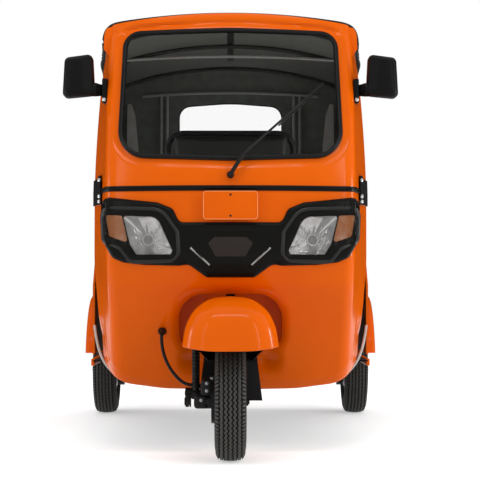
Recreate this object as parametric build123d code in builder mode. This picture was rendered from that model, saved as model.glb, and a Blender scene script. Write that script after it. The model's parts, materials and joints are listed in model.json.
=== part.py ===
"""Three-wheeled auto rickshaw: pressed front cowl, raked windscreen frame, soft top, rear engine.

Millimetres. +Z is up, the vehicle faces -Y, and the origin is on the floor under the middle of its box.
Places along the vehicle are distances behind the front axle, turned into Y by back().
"""

from build123d import *
from math import atan2, cos, degrees, pi, radians, sin, sqrt, tan
import os

os.makedirs("parts", exist_ok=True)

# ---- driving dimensions -------------------------------------------------------------------------
overall_length = 2650
front_overhang = 262          # nose of the mudguard ahead of the front axle
wheelbase = 1985
rear_track = 1204
touch = 0.3                   # gap between a piece and the piece that carries it
running = 0.05                # radial gap of a pin or shaft in its hole
clear = 6                     # least gap beside a moving piece

tyre_radius = 210
tyre_width = 112
tyre_shoulder = 30            # rounding of the tyre's shoulders
rim_radius = 104              # where the tyre's bead sits
rim_lip = 9
rim_gauge = 7
hub_radius = 34
hub_half_length = 50
drum_radius = 80
axle_radius = 10

cowl_wall = 8
cowl_bottom = 229
cowl_corner_half = 478        # front view: where the cowl's bottom and side lines would meet
cowl_corner_rounding = 150
beading_height = 971          # middle of the rubber strip between cowl and windscreen frame
beading_band = 20
beading_reach = 6
cowl_rear = 400               # front edge of the door opening
face_half_width = 447         # where the front face turns into the side
side_half_width = 522         # the side walls at the door opening
corner_radius = 58

arch_half_width = 190
arch_top = 592
arch_rear = 287               # back wall of the wheel pocket
arch_rounding = 105

header_height = 1640          # top of the header at the middle
header_sag = 48               # the header's ends are this much lower

windscreen_bottom = 1074      # outside of the rubber seal
windscreen_top = 1570
windscreen_half_bottom = 411
windscreen_half_top = 399
windscreen_rounding = 74
seal_width = 19
seal_reach = 8
glass_thickness = 5

rake_angle = 15               # steering axis, from the vertical
steer_foot = -20              # where the steering axis meets the floor
column_radius = 17
column_bottom = 448
bar_height = 1000
head_bottom = 606
head_length = 90

floor_top = 330
floor_thickness = 12
floor_front = arch_rear + cowl_wall + touch   # the floor's front edge meets the back of the wheel pocket
floor_half_width = 524
floor_rear = 1640
rail_half_spacing = 300
rail_width = 50
rail_depth = 56
rail_rear = 2310

body_front = 1490             # front edge of the rear body
body_rear = 2370
body_half_width = 640
body_front_half = 628
body_top_half = 616
body_wall = 9
body_bottom = 305
body_top = 905
body_shoulder = 620           # height above which the rear body's sides lean in
body_corner = 95
wheel_arch_radius = 262
flare_radius = 362
flare_half_width = 676
flare_rounding = 18
liner_half = 488              # inner wall of the wheel houses

roof_front = 285
hood_wall = 7
eave_height = 1537            # lower edge of the canopy over the doors
hood_lean = 62                # the hood's back wall leans forward this much at the top
hood_rounding = 165           # top rear corner, side view

lid_half_width = 330
lid_bottom = 372
lid_top = 690
lid_gap = 6
lid_thickness = 8
pin_radius = 4

rear_window_half = 262
rear_window_bottom = 1250
rear_window_top = 1548
rear_window_rounding = 52

tube_radius = 14

# ---- places worked out from them ----------------------------------------------------------------
front_axle_y = front_overhang - overall_length / 2
rear_end = overall_length - front_overhang
half_track = rear_track / 2
floor_bottom = floor_top - floor_thickness
plan_depth = 900              # how far behind the door opening the working solids run


def back(distance):
    """Y of a place that is this far behind the front axle."""
    return front_axle_y + distance


def steer_distance(height):
    """How far behind the front axle the steering axis is, at a height."""
    return steer_foot + height * tan(radians(rake_angle))


def save(piece, name):
    """Label a finished piece and write its file."""
    piece.part.label = name
    export_step(piece.part, f"parts/{name}.step")


def front_view(distance):
    """Upright plane at a distance behind the front axle, seen from the front: X right, Z up."""
    return Plane(origin=(0, back(distance), 0), x_dir=(1, 0, 0), z_dir=(0, -1, 0))


def side_view(across):
    """Upright plane lengthways at a place across the vehicle: Y right, Z up, extruding to +X."""
    return Plane(origin=(across, 0, 0), x_dir=(0, 1, 0), z_dir=(1, 0, 0))


def prism(points, rounding, front=-500, rear=500):
    """Block with a front-view outline, all corners rounded, between two distances."""
    with BuildPart(mode=Mode.PRIVATE) as made:
        with BuildSketch(front_view(rear)) as view:
            with BuildLine():
                Polyline(*points, close=True)
            make_face()
            if rounding:
                fillet(view.vertices(), rounding)
        extrude(amount=rear - front)
    return made.part


def block(x_range, distance_range, z_range):
    """Plain block between two places across, two distances behind the front axle and two heights."""
    with BuildPart(mode=Mode.PRIVATE) as made:
        with BuildSketch(Plane.XY.offset(z_range[0])):
            with Locations((sum(x_range) / 2, back(sum(distance_range) / 2))):
                Rectangle(x_range[1] - x_range[0], distance_range[1] - distance_range[0])
        extrude(amount=z_range[1] - z_range[0])
    return made.part


def band(low, high):
    """Slice between two heights, wider and longer than the vehicle."""
    return block((-900, 900), (-500, 2700), (low, high))


def tube(points, radius, bend=0, wall=0):
    """Round tube or rod along places (across, distance, height), with one bend radius."""
    path = [(x, back(distance), height) for x, distance, height in points]
    with BuildPart(mode=Mode.PRIVATE) as made:
        with BuildLine() as line:
            if len(path) > 2:
                FilletPolyline(*path, radius=bend)
            else:
                Line(*path)
        with BuildSketch(Plane(origin=line.wire() @ 0, z_dir=line.wire() % 0)):
            Circle(radius)
            if wall:
                Circle(radius - wall, mode=Mode.SUBTRACT)
        sweep()
    return made.part


def rod(x_range, distance, height, radius, bore=0):
    """Round bar across the vehicle, with a bore if it has one."""
    with BuildPart(mode=Mode.PRIVATE) as made:
        end = (x_range[0], back(distance), height)
        with BuildSketch(Plane(origin=end, x_dir=(0, 1, 0), z_dir=(1, 0, 0))):
            Circle(radius)
            if bore:
                Circle(bore, mode=Mode.SUBTRACT)
        extrude(amount=x_range[1] - x_range[0])
    return made.part


# ---- the front skin -----------------------------------------------------------------------------
# One smooth skin carries cowl, windscreen frame, fascia and glass. Each row is a level section:
# height, setback of the face at the middle and at the corner, half width of the face, of the sides.
lower_rows = (
    (cowl_bottom - 40, 318, 332, face_half_width - 22, side_half_width - 30),
    (cowl_bottom + 120, 222, 248, face_half_width - 14, side_half_width - 20),
    (cowl_bottom + 240, 150, 185, face_half_width - 10, side_half_width - 12),
    (cowl_bottom + 331, 88, 126, face_half_width - 8, side_half_width - 6),
    (cowl_bottom + 413, 22, 72, face_half_width - 6, side_half_width - 2),
    (cowl_bottom + 533, -14, 48, face_half_width - 2, side_half_width),
    (beading_height, -8, 58, face_half_width, side_half_width),
)
upper_rows = (
    (beading_height, -8, 58, face_half_width, side_half_width),
    (windscreen_bottom - 30, 2, 68, face_half_width + 1, side_half_width - 2),
    (windscreen_bottom + 256, 109, 170, face_half_width + 4, side_half_width - 20),
    (header_height + 40, 240, 296, face_half_width + 3, side_half_width - 69),
)
made_skins = {}


def skin(rows, grow):
    """Solid inside the front skin, grown outwards by a distance."""
    key = (rows, grow)
    if key in made_skins:
        return made_skins[key]
    with BuildPart(mode=Mode.PRIVATE) as made:
        for height, middle, corner, half_face, half_side in rows:
            face_right = (half_face + grow, back(corner) - grow)
            face_left = (-half_face - grow, back(corner) - grow)
            knee_right = (half_side + grow, back(cowl_rear))
            knee_left = (-half_side - grow, back(cowl_rear))
            rear_right = (half_side + grow, back(cowl_rear + plan_depth))
            rear_left = (-half_side - grow, back(cowl_rear + plan_depth))
            with BuildSketch(Plane.XY.offset(height)) as section:
                with BuildLine():
                    ThreePointArc(face_left, (0, back(middle) - grow), face_right)
                    Polyline(face_right, knee_right, rear_right, rear_left, knee_left, face_left)
                make_face()
                fillet(section.vertices().sort_by(Axis.Y)[:2], corner_radius + grow)
        loft(ruled=True)
    made_skins[key] = made.part
    return made.part


def pocket(grow):
    """Rounded pocket in the cowl that the front wheel and mudguard turn in."""
    low = cowl_bottom - 60
    with BuildPart(mode=Mode.PRIVATE) as made:
        with BuildSketch(Plane.XY.offset(low)):
            with Locations((0, back(arch_rear - 300 + grow / 2))):
                Rectangle(2 * (arch_half_width + grow), 600 + grow)
        extrude(amount=arch_top + grow - low)
        fillet(made.edges().filter_by(Axis.Z).sort_by(Axis.Y)[-2:], arch_rounding + 15 + grow)
        fillet(made.faces().sort_by(Axis.Z)[-1].edges().sort_by(Axis.Y)[1:], arch_rounding + grow)
    return made.part


cowl_outline = (
    (-cowl_corner_half, cowl_bottom),
    (cowl_corner_half, cowl_bottom),
    (cowl_corner_half + 42, cowl_bottom + 471),
    (side_half_width + 40, beading_height + 40),
    (-side_half_width - 40, beading_height + 40),
    (-cowl_corner_half - 42, cowl_bottom + 471),
)
windscreen_outline = (
    (-windscreen_half_bottom, windscreen_bottom),
    (windscreen_half_bottom, windscreen_bottom),
    (windscreen_half_top, windscreen_top),
    (-windscreen_half_top, windscreen_top),
)


def inset(points, amount):
    """Four-cornered outline moved inwards."""
    (x0, z0), (x1, z1), (x2, z2), (x3, z3) = points
    return (
        (x0 + amount, z0 + amount), (x1 - amount, z1 + amount),
        (x2 - amount, z2 - amount), (x3 + amount, z3 - amount),
    )


def mirrored(points):
    """Outline given by its left half, completed to the right."""
    return tuple(points) + tuple((-x, z) for x, z in reversed(points))


# Black fascia, left half, from the top middle round to the bottom middle.
fascia_outline = mirrored((
    (-183, 845), (-205, 893), (-262, 917), (-345, 927), (-440, 937), (-467, 915),
    (-453, 800), (-420, 722), (-385, 705), (-310, 696), (-185, 693), (-150, 698), (-85, 651),
))
lamp_outline = ((-386, 873), (-262, 868), (-207, 748), (-214, 733), (-338, 733), (-362, 772))
indicator_outline = ((-450, 877), (-390, 873.5), (-367, 774), (-437, 799))
hexagon_outline = mirrored(((-65, 800), (-92, 775), (-60, 720)))

lower_front = band(cowl_bottom, beading_height - beading_band / 2)
door_cut = block((-900, 900), (cowl_rear, cowl_rear + plan_depth + 300), (0, 2000))

# ---- front cowl ---------------------------------------------------------------------------------
hose_points = (
    (-251, 147, 454), (-251, 116, 454), (-250, 92, 404), (-236, 78, 352),
    (-206, 60, 304), (-160, 40, 264), (-106, 40, 264),
)
hose_radius = 5
gland_radius = 13


def both_sides(shape):
    """A piece and its mirror image on the other side."""
    return (shape, mirror(shape, about=Plane.YZ, mode=Mode.PRIVATE))


with BuildPart() as cowl_front_view:
    with BuildSketch(front_view(900)) as view:
        with BuildLine():
            Polyline(*cowl_outline, close=True)
        make_face()
        fillet(view.vertices().group_by(Axis.Z)[0], cowl_corner_rounding)
    extrude(amount=1400)

lamp_hole = prism(lamp_outline, 9)
indicator_hole = prism(indicator_outline, 9)
head_distance = steer_distance(head_bottom)
column_hole = block(
    (-column_radius - 14, column_radius + 14),
    (head_distance - 42, head_distance + 34),
    (arch_top - 70, head_bottom),
)

with BuildPart() as front_cowl:
    add(skin(lower_rows, 0))
    add(skin(lower_rows, -cowl_wall), mode=Mode.SUBTRACT)
    with BuildPart(mode=Mode.PRIVATE) as arch_wall:
        add(pocket(cowl_wall))
        add(skin(lower_rows, -cowl_wall / 2), mode=Mode.INTERSECT)
    add(arch_wall.part)
    add(pocket(0), mode=Mode.SUBTRACT)
    add(lower_front, mode=Mode.INTERSECT)
    add(cowl_front_view.part, mode=Mode.INTERSECT)
    add(door_cut, mode=Mode.SUBTRACT)
    for hole in both_sides(lamp_hole) + both_sides(indicator_hole):
        add(hole, mode=Mode.SUBTRACT)
    add(column_hole, mode=Mode.SUBTRACT)
    with BuildPart(mode=Mode.PRIVATE) as gland:
        with BuildSketch(front_view(hose_points[0][1] + 40)):
            with Locations((hose_points[0][0], hose_points[0][2])):
                Circle(gland_radius)
        extrude(amount=40)
        add(skin(lower_rows, -cowl_wall / 2), mode=Mode.SUBTRACT)
    add(gland.part)
save(front_cowl, "front_cowl")

# ---- fascia, lamps and number plate -------------------------------------------------------------
fascia_reach = 16
lens_reach = 11
lens_thickness = 4
bucket_wall = 3
plate_half_width = 95
plate_bottom = 862
plate_top = 959
plate_thickness = 3
plate_distance = -44          # the plate stands off the cowl on two spacers
spacer_radius = 7
slat_thickness = 5
hexagon_depth = 5             # the hexagon in the fascia's middle is sunk this much
slat_outline = ((-146, 757), (-134, 757), (-62, 690), (-74, 690))

fascia_shape = prism(fascia_outline, 10)
with BuildPart() as front_fascia:
    add(skin(lower_rows, fascia_reach))
    add(skin(lower_rows, touch), mode=Mode.SUBTRACT)
    add(fascia_shape, mode=Mode.INTERSECT)
    for hole in both_sides(lamp_hole) + both_sides(indicator_hole):
        add(hole, mode=Mode.SUBTRACT)
    with BuildPart(mode=Mode.PRIVATE) as slat:
        add(skin(lower_rows, fascia_reach + slat_thickness))
        add(skin(lower_rows, fascia_reach - 2), mode=Mode.SUBTRACT)
        add(prism(slat_outline, 3), mode=Mode.INTERSECT)
    for piece in both_sides(slat.part):
        add(piece)
    with BuildPart(mode=Mode.PRIVATE) as panel:
        add(skin(lower_rows, fascia_reach + 1))
        add(skin(lower_rows, fascia_reach - hexagon_depth), mode=Mode.SUBTRACT)
        add(prism(hexagon_outline, 3), mode=Mode.INTERSECT)
    add(panel.part, mode=Mode.SUBTRACT)
save(front_fascia, "front_fascia")


def lamp_pieces(outline):
    """Lens and hollow reflector bucket behind one opening, both on the left side."""
    mouth = prism(outline, 9)
    with BuildPart(mode=Mode.PRIVATE) as lens:
        add(skin(lower_rows, lens_reach))
        add(skin(lower_rows, lens_reach - lens_thickness), mode=Mode.SUBTRACT)
        add(mouth, mode=Mode.INTERSECT)
    with BuildPart(mode=Mode.PRIVATE) as bucket:
        with BuildSketch(front_view(140)) as view:
            with BuildLine():
                Polyline(*outline, close=True)
            make_face()
            fillet(view.vertices(), 9)
        extrude(amount=400)
        offset(amount=-bucket_wall, openings=bucket.faces().sort_by(Axis.Y)[0])
        add(skin(lower_rows, lens_reach - lens_thickness - touch), mode=Mode.INTERSECT)
    return lens.part, bucket.part


headlamp_lens, headlamp_bucket = lamp_pieces(lamp_outline)
indicator_lens, indicator_bucket = lamp_pieces(indicator_outline)
with BuildPart() as headlamp_lenses:
    for piece in both_sides(headlamp_lens):
        add(piece)
save(headlamp_lenses, "headlamp_lenses")
with BuildPart() as headlamp_reflectors:
    for piece in both_sides(headlamp_bucket):
        add(piece)
save(headlamp_reflectors, "headlamp_reflectors")
with BuildPart() as front_indicators:
    for piece in both_sides(indicator_lens) + both_sides(indicator_bucket):
        add(piece)
save(front_indicators, "front_indicators")

with BuildPart() as number_plates:
    corners = (
        (-plate_half_width, plate_bottom), (plate_half_width, plate_bottom),
        (plate_half_width, plate_top), (-plate_half_width, plate_top),
    )
    add(prism(corners, 11, plate_distance - plate_thickness, plate_distance))
    for across in (-plate_half_width / 2, plate_half_width / 2):
        with BuildPart(mode=Mode.PRIVATE) as spacer:
            with BuildSketch(front_view(plate_distance + 90)):
                with Locations((across, (plate_bottom + plate_top) / 2)):
                    Circle(spacer_radius)
            extrude(amount=90)
            add(skin(lower_rows, touch), mode=Mode.SUBTRACT)
        add(spacer.part)
    corners = ((-110, 760), (110, 760), (110, 880), (-110, 880))
    add(prism(corners, 12, body_rear + touch, body_rear + touch + plate_thickness))
save(number_plates, "number_plates")

# ---- rubber strip, brackets and windscreen frame ------------------------------------------------
bracket_front = 262
bracket_rear = 392
bracket_low = 925
bracket_high = 1022
bracket_thickness = 6

with BuildPart() as cowl_beading:
    add(skin(lower_rows, beading_reach))
    add(skin(lower_rows, -cowl_wall), mode=Mode.SUBTRACT)
    add(band(beading_height - beading_band / 2, beading_height), mode=Mode.INTERSECT)
    with BuildPart(mode=Mode.PRIVATE) as upper_half:
        add(skin(upper_rows, beading_reach))
        add(skin(upper_rows, -cowl_wall), mode=Mode.SUBTRACT)
        add(band(beading_height, beading_height + beading_band / 2), mode=Mode.INTERSECT)
    add(upper_half.part)
    add(block((-900, 900), (bracket_front - 1, 3000), (0, 2000)), mode=Mode.SUBTRACT)
save(cowl_beading, "cowl_beading")

with BuildPart() as cowl_brackets:
    for rows, low, high in (
        (lower_rows, bracket_low, beading_height), (upper_rows, beading_height, bracket_high),
    ):
        with BuildPart(mode=Mode.PRIVATE) as half_bracket:
            add(skin(rows, touch + bracket_thickness))
            add(skin(rows, touch), mode=Mode.SUBTRACT)
            add(block((-900, 900), (bracket_front, bracket_rear), (low, high)), mode=Mode.INTERSECT)
        add(half_bracket.part)
save(cowl_brackets, "cowl_brackets")


def header_view(drop):
    """Front-view shape of the windscreen frame under its crowned top, lowered by drop."""
    ends = header_height - header_sag - drop
    with BuildPart(mode=Mode.PRIVATE) as made:
        with BuildSketch(front_view(cowl_rear)):
            with BuildLine():
                left = (-face_half_width - 60, ends)
                right = (face_half_width + 60, ends)
                ThreePointArc(left, (0, header_height - drop), right)
                Polyline(right, (700, ends), (700, beading_height + beading_band / 2))
                Polyline((700, beading_height + beading_band / 2), (-700, beading_height + beading_band / 2))
                Polyline((-700, beading_height + beading_band / 2), (-700, ends), left)
            make_face()
        extrude(amount=700)
    return made.part


windscreen_hole = prism(windscreen_outline, windscreen_rounding)
with BuildPart() as windscreen_frame:
    add(skin(upper_rows, 0))
    add(header_view(0), mode=Mode.INTERSECT)
    with BuildPart(mode=Mode.PRIVATE) as hollow:
        add(skin(upper_rows, -cowl_wall))
        with BuildPart(mode=Mode.PRIVATE) as under_header:
            add(header_view(cowl_wall))
            add(block((-900, 900), (-500, 900), (beading_height - 60, beading_height + 60)))
        add(block((-900, 900), (-500, 900), (beading_height - 60, header_height - 140)))
        add(under_header.part)
        add(skin(upper_rows, -cowl_wall), mode=Mode.INTERSECT)
    add(hollow.part, mode=Mode.SUBTRACT)
    add(windscreen_hole, mode=Mode.SUBTRACT)
save(windscreen_frame, "windscreen_frame")

# ---- windscreen, its seal and the wiper -----------------------------------------------------------
glass_outline = inset(windscreen_outline, seal_width)
with BuildPart() as windscreen_glass:
    add(skin(upper_rows, 0))
    add(skin(upper_rows, -glass_thickness), mode=Mode.SUBTRACT)
    add(prism(glass_outline, windscreen_rounding - seal_width), mode=Mode.INTERSECT)
save(windscreen_glass, "windscreen_glass")

with BuildPart() as windscreen_seal:
    add(skin(upper_rows, seal_reach))
    add(skin(upper_rows, -cowl_wall - 2), mode=Mode.SUBTRACT)
    add(prism(inset(windscreen_outline, touch), windscreen_rounding - touch), mode=Mode.INTERSECT)
    add(prism(inset(glass_outline, -touch), windscreen_rounding - seal_width + touch), mode=Mode.SUBTRACT)
save(windscreen_seal, "windscreen_seal")

wiper_pivot = (0, -34, 1018)
wiper_elbow = (46, -22, 1092)
blade_low = (170, 44, 1204)
blade_high = (340, 132, 1362)
wiper_tip = tuple((low + high) / 2 for low, high in zip(blade_low, blade_high))
with BuildPart() as wiper:
    with BuildSketch(front_view(-2)):
        with Locations((wiper_pivot[0], wiper_pivot[2])):
            Circle(11)
    extrude(amount=28)
    add(tube((wiper_pivot, wiper_elbow), 8))
    add(tube((wiper_elbow, wiper_tip), 4))
    add(tube((blade_low, blade_high), 5))
    add(skin(upper_rows, touch), mode=Mode.SUBTRACT)
save(wiper, "wiper")

# ---- mirrors --------------------------------------------------------------------------------------
mirror_inner = 504
mirror_outer = 624
mirror_low = 1316
mirror_high = 1482
mirror_front = 165
mirror_rear = 228
mirror_arm_height = 1352
mirror_arm_radius = 17
arm_foot_across = (452, 484)   # the arm's foot on the pillar
mirror_outline = (
    (mirror_inner, mirror_low + 12), (mirror_outer, mirror_low),
    (mirror_outer - 8, mirror_high - 14), (mirror_inner + 8, mirror_high),
)
with BuildPart() as mirror_housing:
    add(prism(mirror_outline, 20, mirror_front, mirror_rear))
    fillet(mirror_housing.edges().group_by(Axis.Y)[0], 16)
    add(prism(inset(mirror_outline, 6), 15, mirror_rear - 12, mirror_rear), mode=Mode.SUBTRACT)
with BuildPart() as mirror_arm:
    arm_path = (
        (mirror_inner + 12, mirror_rear - 30, mirror_arm_height),
        (430, mirror_rear + 52, mirror_arm_height),
    )
    add(tube(arm_path, mirror_arm_radius))
    add(block(arm_foot_across, (mirror_rear - 30, mirror_rear + 62),
              (mirror_arm_height - 52, mirror_arm_height + 38)))
    add(prism(mirror_outline, 20, mirror_front, mirror_rear), mode=Mode.SUBTRACT)
    add(skin(upper_rows, touch), mode=Mode.SUBTRACT)
with BuildPart() as mirror_pair:
    for housing in both_sides(mirror_housing.part):
        add(housing)
    for arm in both_sides(mirror_arm.part):
        add(arm)
save(mirror_pair, "mirror_housings")
with BuildPart() as mirror_glasses:
    glass = prism(inset(mirror_outline, 6 + touch), 15 - touch, mirror_rear - 12 + touch, mirror_rear - 6)
    for piece in both_sides(glass):
        add(piece)
save(mirror_glasses, "mirror_glasses")

# ---- floor and chassis ----------------------------------------------------------------------------
floor_nose_half = 436
sill_depth = 62
member_depth = 40
member_distances = (620, 1590, 2270)
bumper_radius = 18
bumper_height = 284
bumper_half = 560
with BuildPart() as floor_pan:
    with BuildSketch(Plane.XY.offset(floor_bottom)):
        with BuildLine():
            right = (
                (floor_nose_half, back(floor_front)), (floor_nose_half + 24, back(cowl_rear + 2)),
                (floor_half_width, back(cowl_rear + 40)), (floor_half_width, back(floor_rear)),
            )
            Polyline(*right, *((-x, y) for x, y in reversed(right)), close=True)
        make_face()
    extrude(amount=floor_thickness)
    for side in (-1, 1):
        outer = side * (floor_half_width + 8)
        inner = side * (floor_half_width - 2)
        add(block((min(outer, inner), max(outer, inner)),
                  (cowl_rear + 45, body_front - 10), (floor_top - sill_depth, floor_top + 4)))
        lip = side * (floor_half_width - 46)
        add(block((min(outer, lip), max(outer, lip)),
                  (cowl_rear + 45, body_front - 10), (floor_bottom - 6, floor_bottom + 1)))
save(floor_pan, "floor_pan")

rail_top = floor_bottom
rail_bottom = rail_top - rail_depth
with BuildPart() as chassis_frame:
    for side in (-1, 1):
        middle = side * rail_half_spacing
        add(block((middle - rail_width / 2, middle + rail_width / 2),
                  (floor_front + 20, rail_rear), (rail_bottom, rail_top)))
    for distance in member_distances:
        add(block((-rail_half_spacing - rail_width / 2 - 60, rail_half_spacing + rail_width / 2 + 60),
                  (distance - member_depth / 2, distance + member_depth / 2), (rail_bottom + 6, rail_top)))
    bumper_distance = rear_end - bumper_radius
    add(rod((-bumper_half, bumper_half), bumper_distance, bumper_height, bumper_radius))
    for side in (-1, 1):
        middle = side * rail_half_spacing
        add(block((middle - 18, middle + 18), (rail_rear - 10, bumper_distance),
                  (bumper_height - 16, bumper_height + 16)))
save(chassis_frame, "chassis_frame")

# ---- seats and partition --------------------------------------------------------------------------
box_half = 232
box_front = 760
box_rear = 1160
box_top = 566
cushion_height = 84
partition_distance = 1238
partition_half = 277
partition_top = 1288
backrest_depth = 52
backrest_bottom = 690
backrest_half = 256
bench_front = floor_rear
bench_deck = 600
bench_wall = 8
bench_half = body_half_width - body_wall - 7
bench_rear = 2200
bench_cushion = 104
bench_cushion_half = 566
bench_cushion_rear = 2112

with BuildPart() as driver_seat_box:
    add(block((-box_half, box_half), (box_front, box_rear), (floor_top, box_top)))
    fillet(driver_seat_box.edges().filter_by(Axis.Z), 24)
    offset(amount=-4, openings=driver_seat_box.faces().sort_by(Axis.Z)[0])
save(driver_seat_box, "driver_seat_box")

with BuildPart() as driver_cushion:
    add(block((-box_half - 12, box_half + 12), (box_front - 14, box_rear - 10),
              (box_top + touch, box_top + cushion_height)))
    fillet(driver_cushion.edges().filter_by(Axis.Z), 46)
    fillet(driver_cushion.faces().sort_by(Axis.Z)[-1].edges(), 26)
save(driver_cushion, "driver_cushion")

with BuildPart() as partition_frame:
    frame_path = (
        (-partition_half, partition_distance, floor_top),
        (-partition_half, partition_distance, partition_top),
        (partition_half, partition_distance, partition_top),
        (partition_half, partition_distance, floor_top),
    )
    add(tube(frame_path, tube_radius, 70))
    for height in (backrest_bottom - 40, 980):
        ends = ((-partition_half, partition_distance, height), (partition_half, partition_distance, height))
        add(tube(ends, tube_radius))
    for side in (-1, 1):
        reach = side * (floor_half_width - 15)
        add(tube(((side * partition_half, partition_distance, 860), (reach, partition_distance, 860),
                  (reach, partition_distance, floor_top)), tube_radius - 2, 60))
save(partition_frame, "partition_frame")

with BuildPart() as driver_backrest:
    rest_rear = partition_distance - tube_radius - touch
    add(block((-backrest_half, backrest_half), (rest_rear - backrest_depth, rest_rear),
              (backrest_bottom, partition_top - 6)))
    fillet(driver_backrest.edges().filter_by(Axis.Y), 48)
    fillet(driver_backrest.faces().sort_by(Axis.Y)[0].edges(), 22)
save(driver_backrest, "driver_backrest")

with BuildPart() as rear_bench:
    across = (-bench_half, bench_half)
    add(block(across, (bench_front + touch, bench_front + bench_wall), (floor_bottom + touch, bench_deck)))
    add(block(across, (bench_front + touch, bench_rear), (bench_deck - bench_wall, bench_deck)))
save(rear_bench, "rear_bench")

with BuildPart() as passenger_cushion:
    add(block((-bench_cushion_half, bench_cushion_half), (bench_front - 12, bench_cushion_rear),
              (bench_deck + touch, bench_deck + bench_cushion)))
    fillet(passenger_cushion.edges().filter_by(Axis.Z), 50)
    fillet(passenger_cushion.faces().sort_by(Axis.Z)[-1].edges(), 30)
save(passenger_cushion, "passenger_cushion")

bench_back_top = 1150
bench_back_depth = 84
bench_back_half = 552
with BuildPart() as passenger_backrest:
    with BuildSketch(side_view(-bench_back_half)) as profile:
        with BuildLine():
            low = back(bench_cushion_rear + 2)
            lean = 60
            Polyline(
                (low, bench_deck + touch), (low + bench_back_depth, bench_deck + touch),
                (low + bench_back_depth + lean, bench_back_top), (low + lean, bench_back_top), close=True,
            )
        make_face()
        fillet(profile.vertices().group_by(Axis.Z)[-1], 30)
    extrude(amount=2 * bench_back_half)
save(passenger_backrest, "passenger_backrest")

# ---- rear body ------------------------------------------------------------------------------------
body_rows = ((body_bottom, 0), (body_shoulder, 0), (body_top, body_half_width - body_top_half))


def body(grow, low, high):
    """Solid inside the rear body, grown outwards, running out through its front."""
    with BuildPart(mode=Mode.PRIVATE) as made:
        for height, lean in body_rows:
            half = body_half_width - lean + grow
            nose = body_front_half - lean + grow
            right = (
                (nose, back(body_front - 200)), (nose, back(body_front)),
                (half, back(body_front + 220)), (half, back(body_rear) + grow),
            )
            with BuildSketch(Plane.XY.offset(height)) as section:
                with BuildLine():
                    Polyline(*right, *((-x, y) for x, y in reversed(right)), close=True)
                make_face()
                fillet(section.vertices().group_by(Axis.Y)[-1], body_corner + grow)
        loft(ruled=True)
        add(block((-900, 900), (-500, 3000), (low, high)), mode=Mode.INTERSECT)
    return made.part


lid_outline = (
    (-lid_half_width, lid_bottom), (lid_half_width, lid_bottom),
    (lid_half_width, lid_top), (-lid_half_width, lid_top),
)
lid_rounding = 26
hinge_places = (-210, 210)
pin_distance = body_rear + 10
pin_height = lid_top + 2
knuckle_radius = pin_radius + 4
knuckle_half = 16
liner_gauge = 5
liner_radius = wheel_arch_radius + 4
with BuildPart() as rear_body:
    add(body(0, body_bottom, body_top))
    add(body(-body_wall, body_bottom, body_top), mode=Mode.SUBTRACT)
    for side in (-1, 1):
        face = side * (body_half_width - body_wall / 2)
        tip = side * flare_half_width
        with BuildPart(mode=Mode.PRIVATE) as flare:
            add(rod((min(face, tip), max(face, tip)), wheelbase, tyre_radius, flare_radius))
            edge = flare.edges().filter_by(GeomType.CIRCLE).sort_by(Axis.X)[-1 if side > 0 else 0]
            fillet(edge, flare_rounding)
            add(block((-900, 900), (1000, body_rear - 30), (body_bottom, 2000)), mode=Mode.INTERSECT)
        add(flare.part)
        wall = side * (body_half_width - body_wall)
        inside = side * liner_half
        with BuildPart(mode=Mode.PRIVATE) as liner:
            add(rod((min(wall, inside), max(wall, inside)), wheelbase, tyre_radius,
                    liner_radius + liner_gauge))
            deep = inside + side * liner_gauge
            add(rod((min(wall, deep), max(wall, deep)), wheelbase, tyre_radius, liner_radius),
                mode=Mode.SUBTRACT)
            add(block((-900, 900), (1000, 3000), (body_bottom, 2000)), mode=Mode.INTERSECT)
        add(liner.part)
        arch = side * (liner_half + liner_gauge + 100)
        far = side * 800
        add(rod((min(arch, far), max(arch, far)), wheelbase, tyre_radius, wheel_arch_radius),
            mode=Mode.SUBTRACT)
    add(block((-900, 900), (-500, body_front), (0, 2000)), mode=Mode.SUBTRACT)
    add(prism(inset(lid_outline, -lid_gap), lid_rounding + lid_gap, body_rear - 60, body_rear + 60),
        mode=Mode.SUBTRACT)
    for across in hinge_places:
        reach = knuckle_half + 12
        add(rod((across - reach, across + reach), pin_distance, pin_height, pin_radius))
        for side in (-1, 1):
            near, far = across + side * (knuckle_half + 1), across + side * reach
            low_x, high_x = min(near, far), max(near, far)
            add(rod((low_x, high_x), pin_distance, pin_height, knuckle_radius))
            add(block((low_x, high_x), (body_rear - 2, pin_distance), (pin_height, lid_top + lid_gap + 30)))
save(rear_body, "rear_body")

# ---- engine lid -----------------------------------------------------------------------------------
louvre_count = 7
louvre_pitch = 30
louvre_height = 11
louvre_places = (-165, 165)
louvre_half = 120
with BuildPart() as engine_lid:
    add(prism(lid_outline, lid_rounding, body_rear - lid_thickness, body_rear))
    for across in hinge_places:
        add(rod((across - knuckle_half, across + knuckle_half), pin_distance, pin_height, knuckle_radius))
        knuckle = (across - knuckle_half, across + knuckle_half)
        add(block(knuckle, (body_rear - 2, pin_distance), (lid_top - 34, pin_height)))
        add(rod(knuckle, pin_distance, pin_height, pin_radius + running), mode=Mode.SUBTRACT)
    for number in range(louvre_count):
        low = lid_bottom + 62 + number * louvre_pitch
        for across in louvre_places:
            add(block((across - louvre_half, across + louvre_half), (body_rear - 60, body_rear + 60),
                      (low, low + louvre_height)), mode=Mode.SUBTRACT)
save(engine_lid, "engine_lid")

# ---- canopy on its bows ---------------------------------------------------------------------------
# Each row is an upright section: distance, half width under the shoulder and at the body's rim,
# shoulder height, crown height.
hood_rows = (
    (roof_front, 478, 508, header_height - 34, header_height + hood_wall + 3),
    (roof_front + 200, 492, 522, header_height - 28, header_height + 34),
    (roof_front + 520, 528, 562, 1626, 1726),
    (roof_front + 1215, 570, 606, 1630, 1730),
    (2450, 574, 608, 1604, 1712),
)
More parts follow.
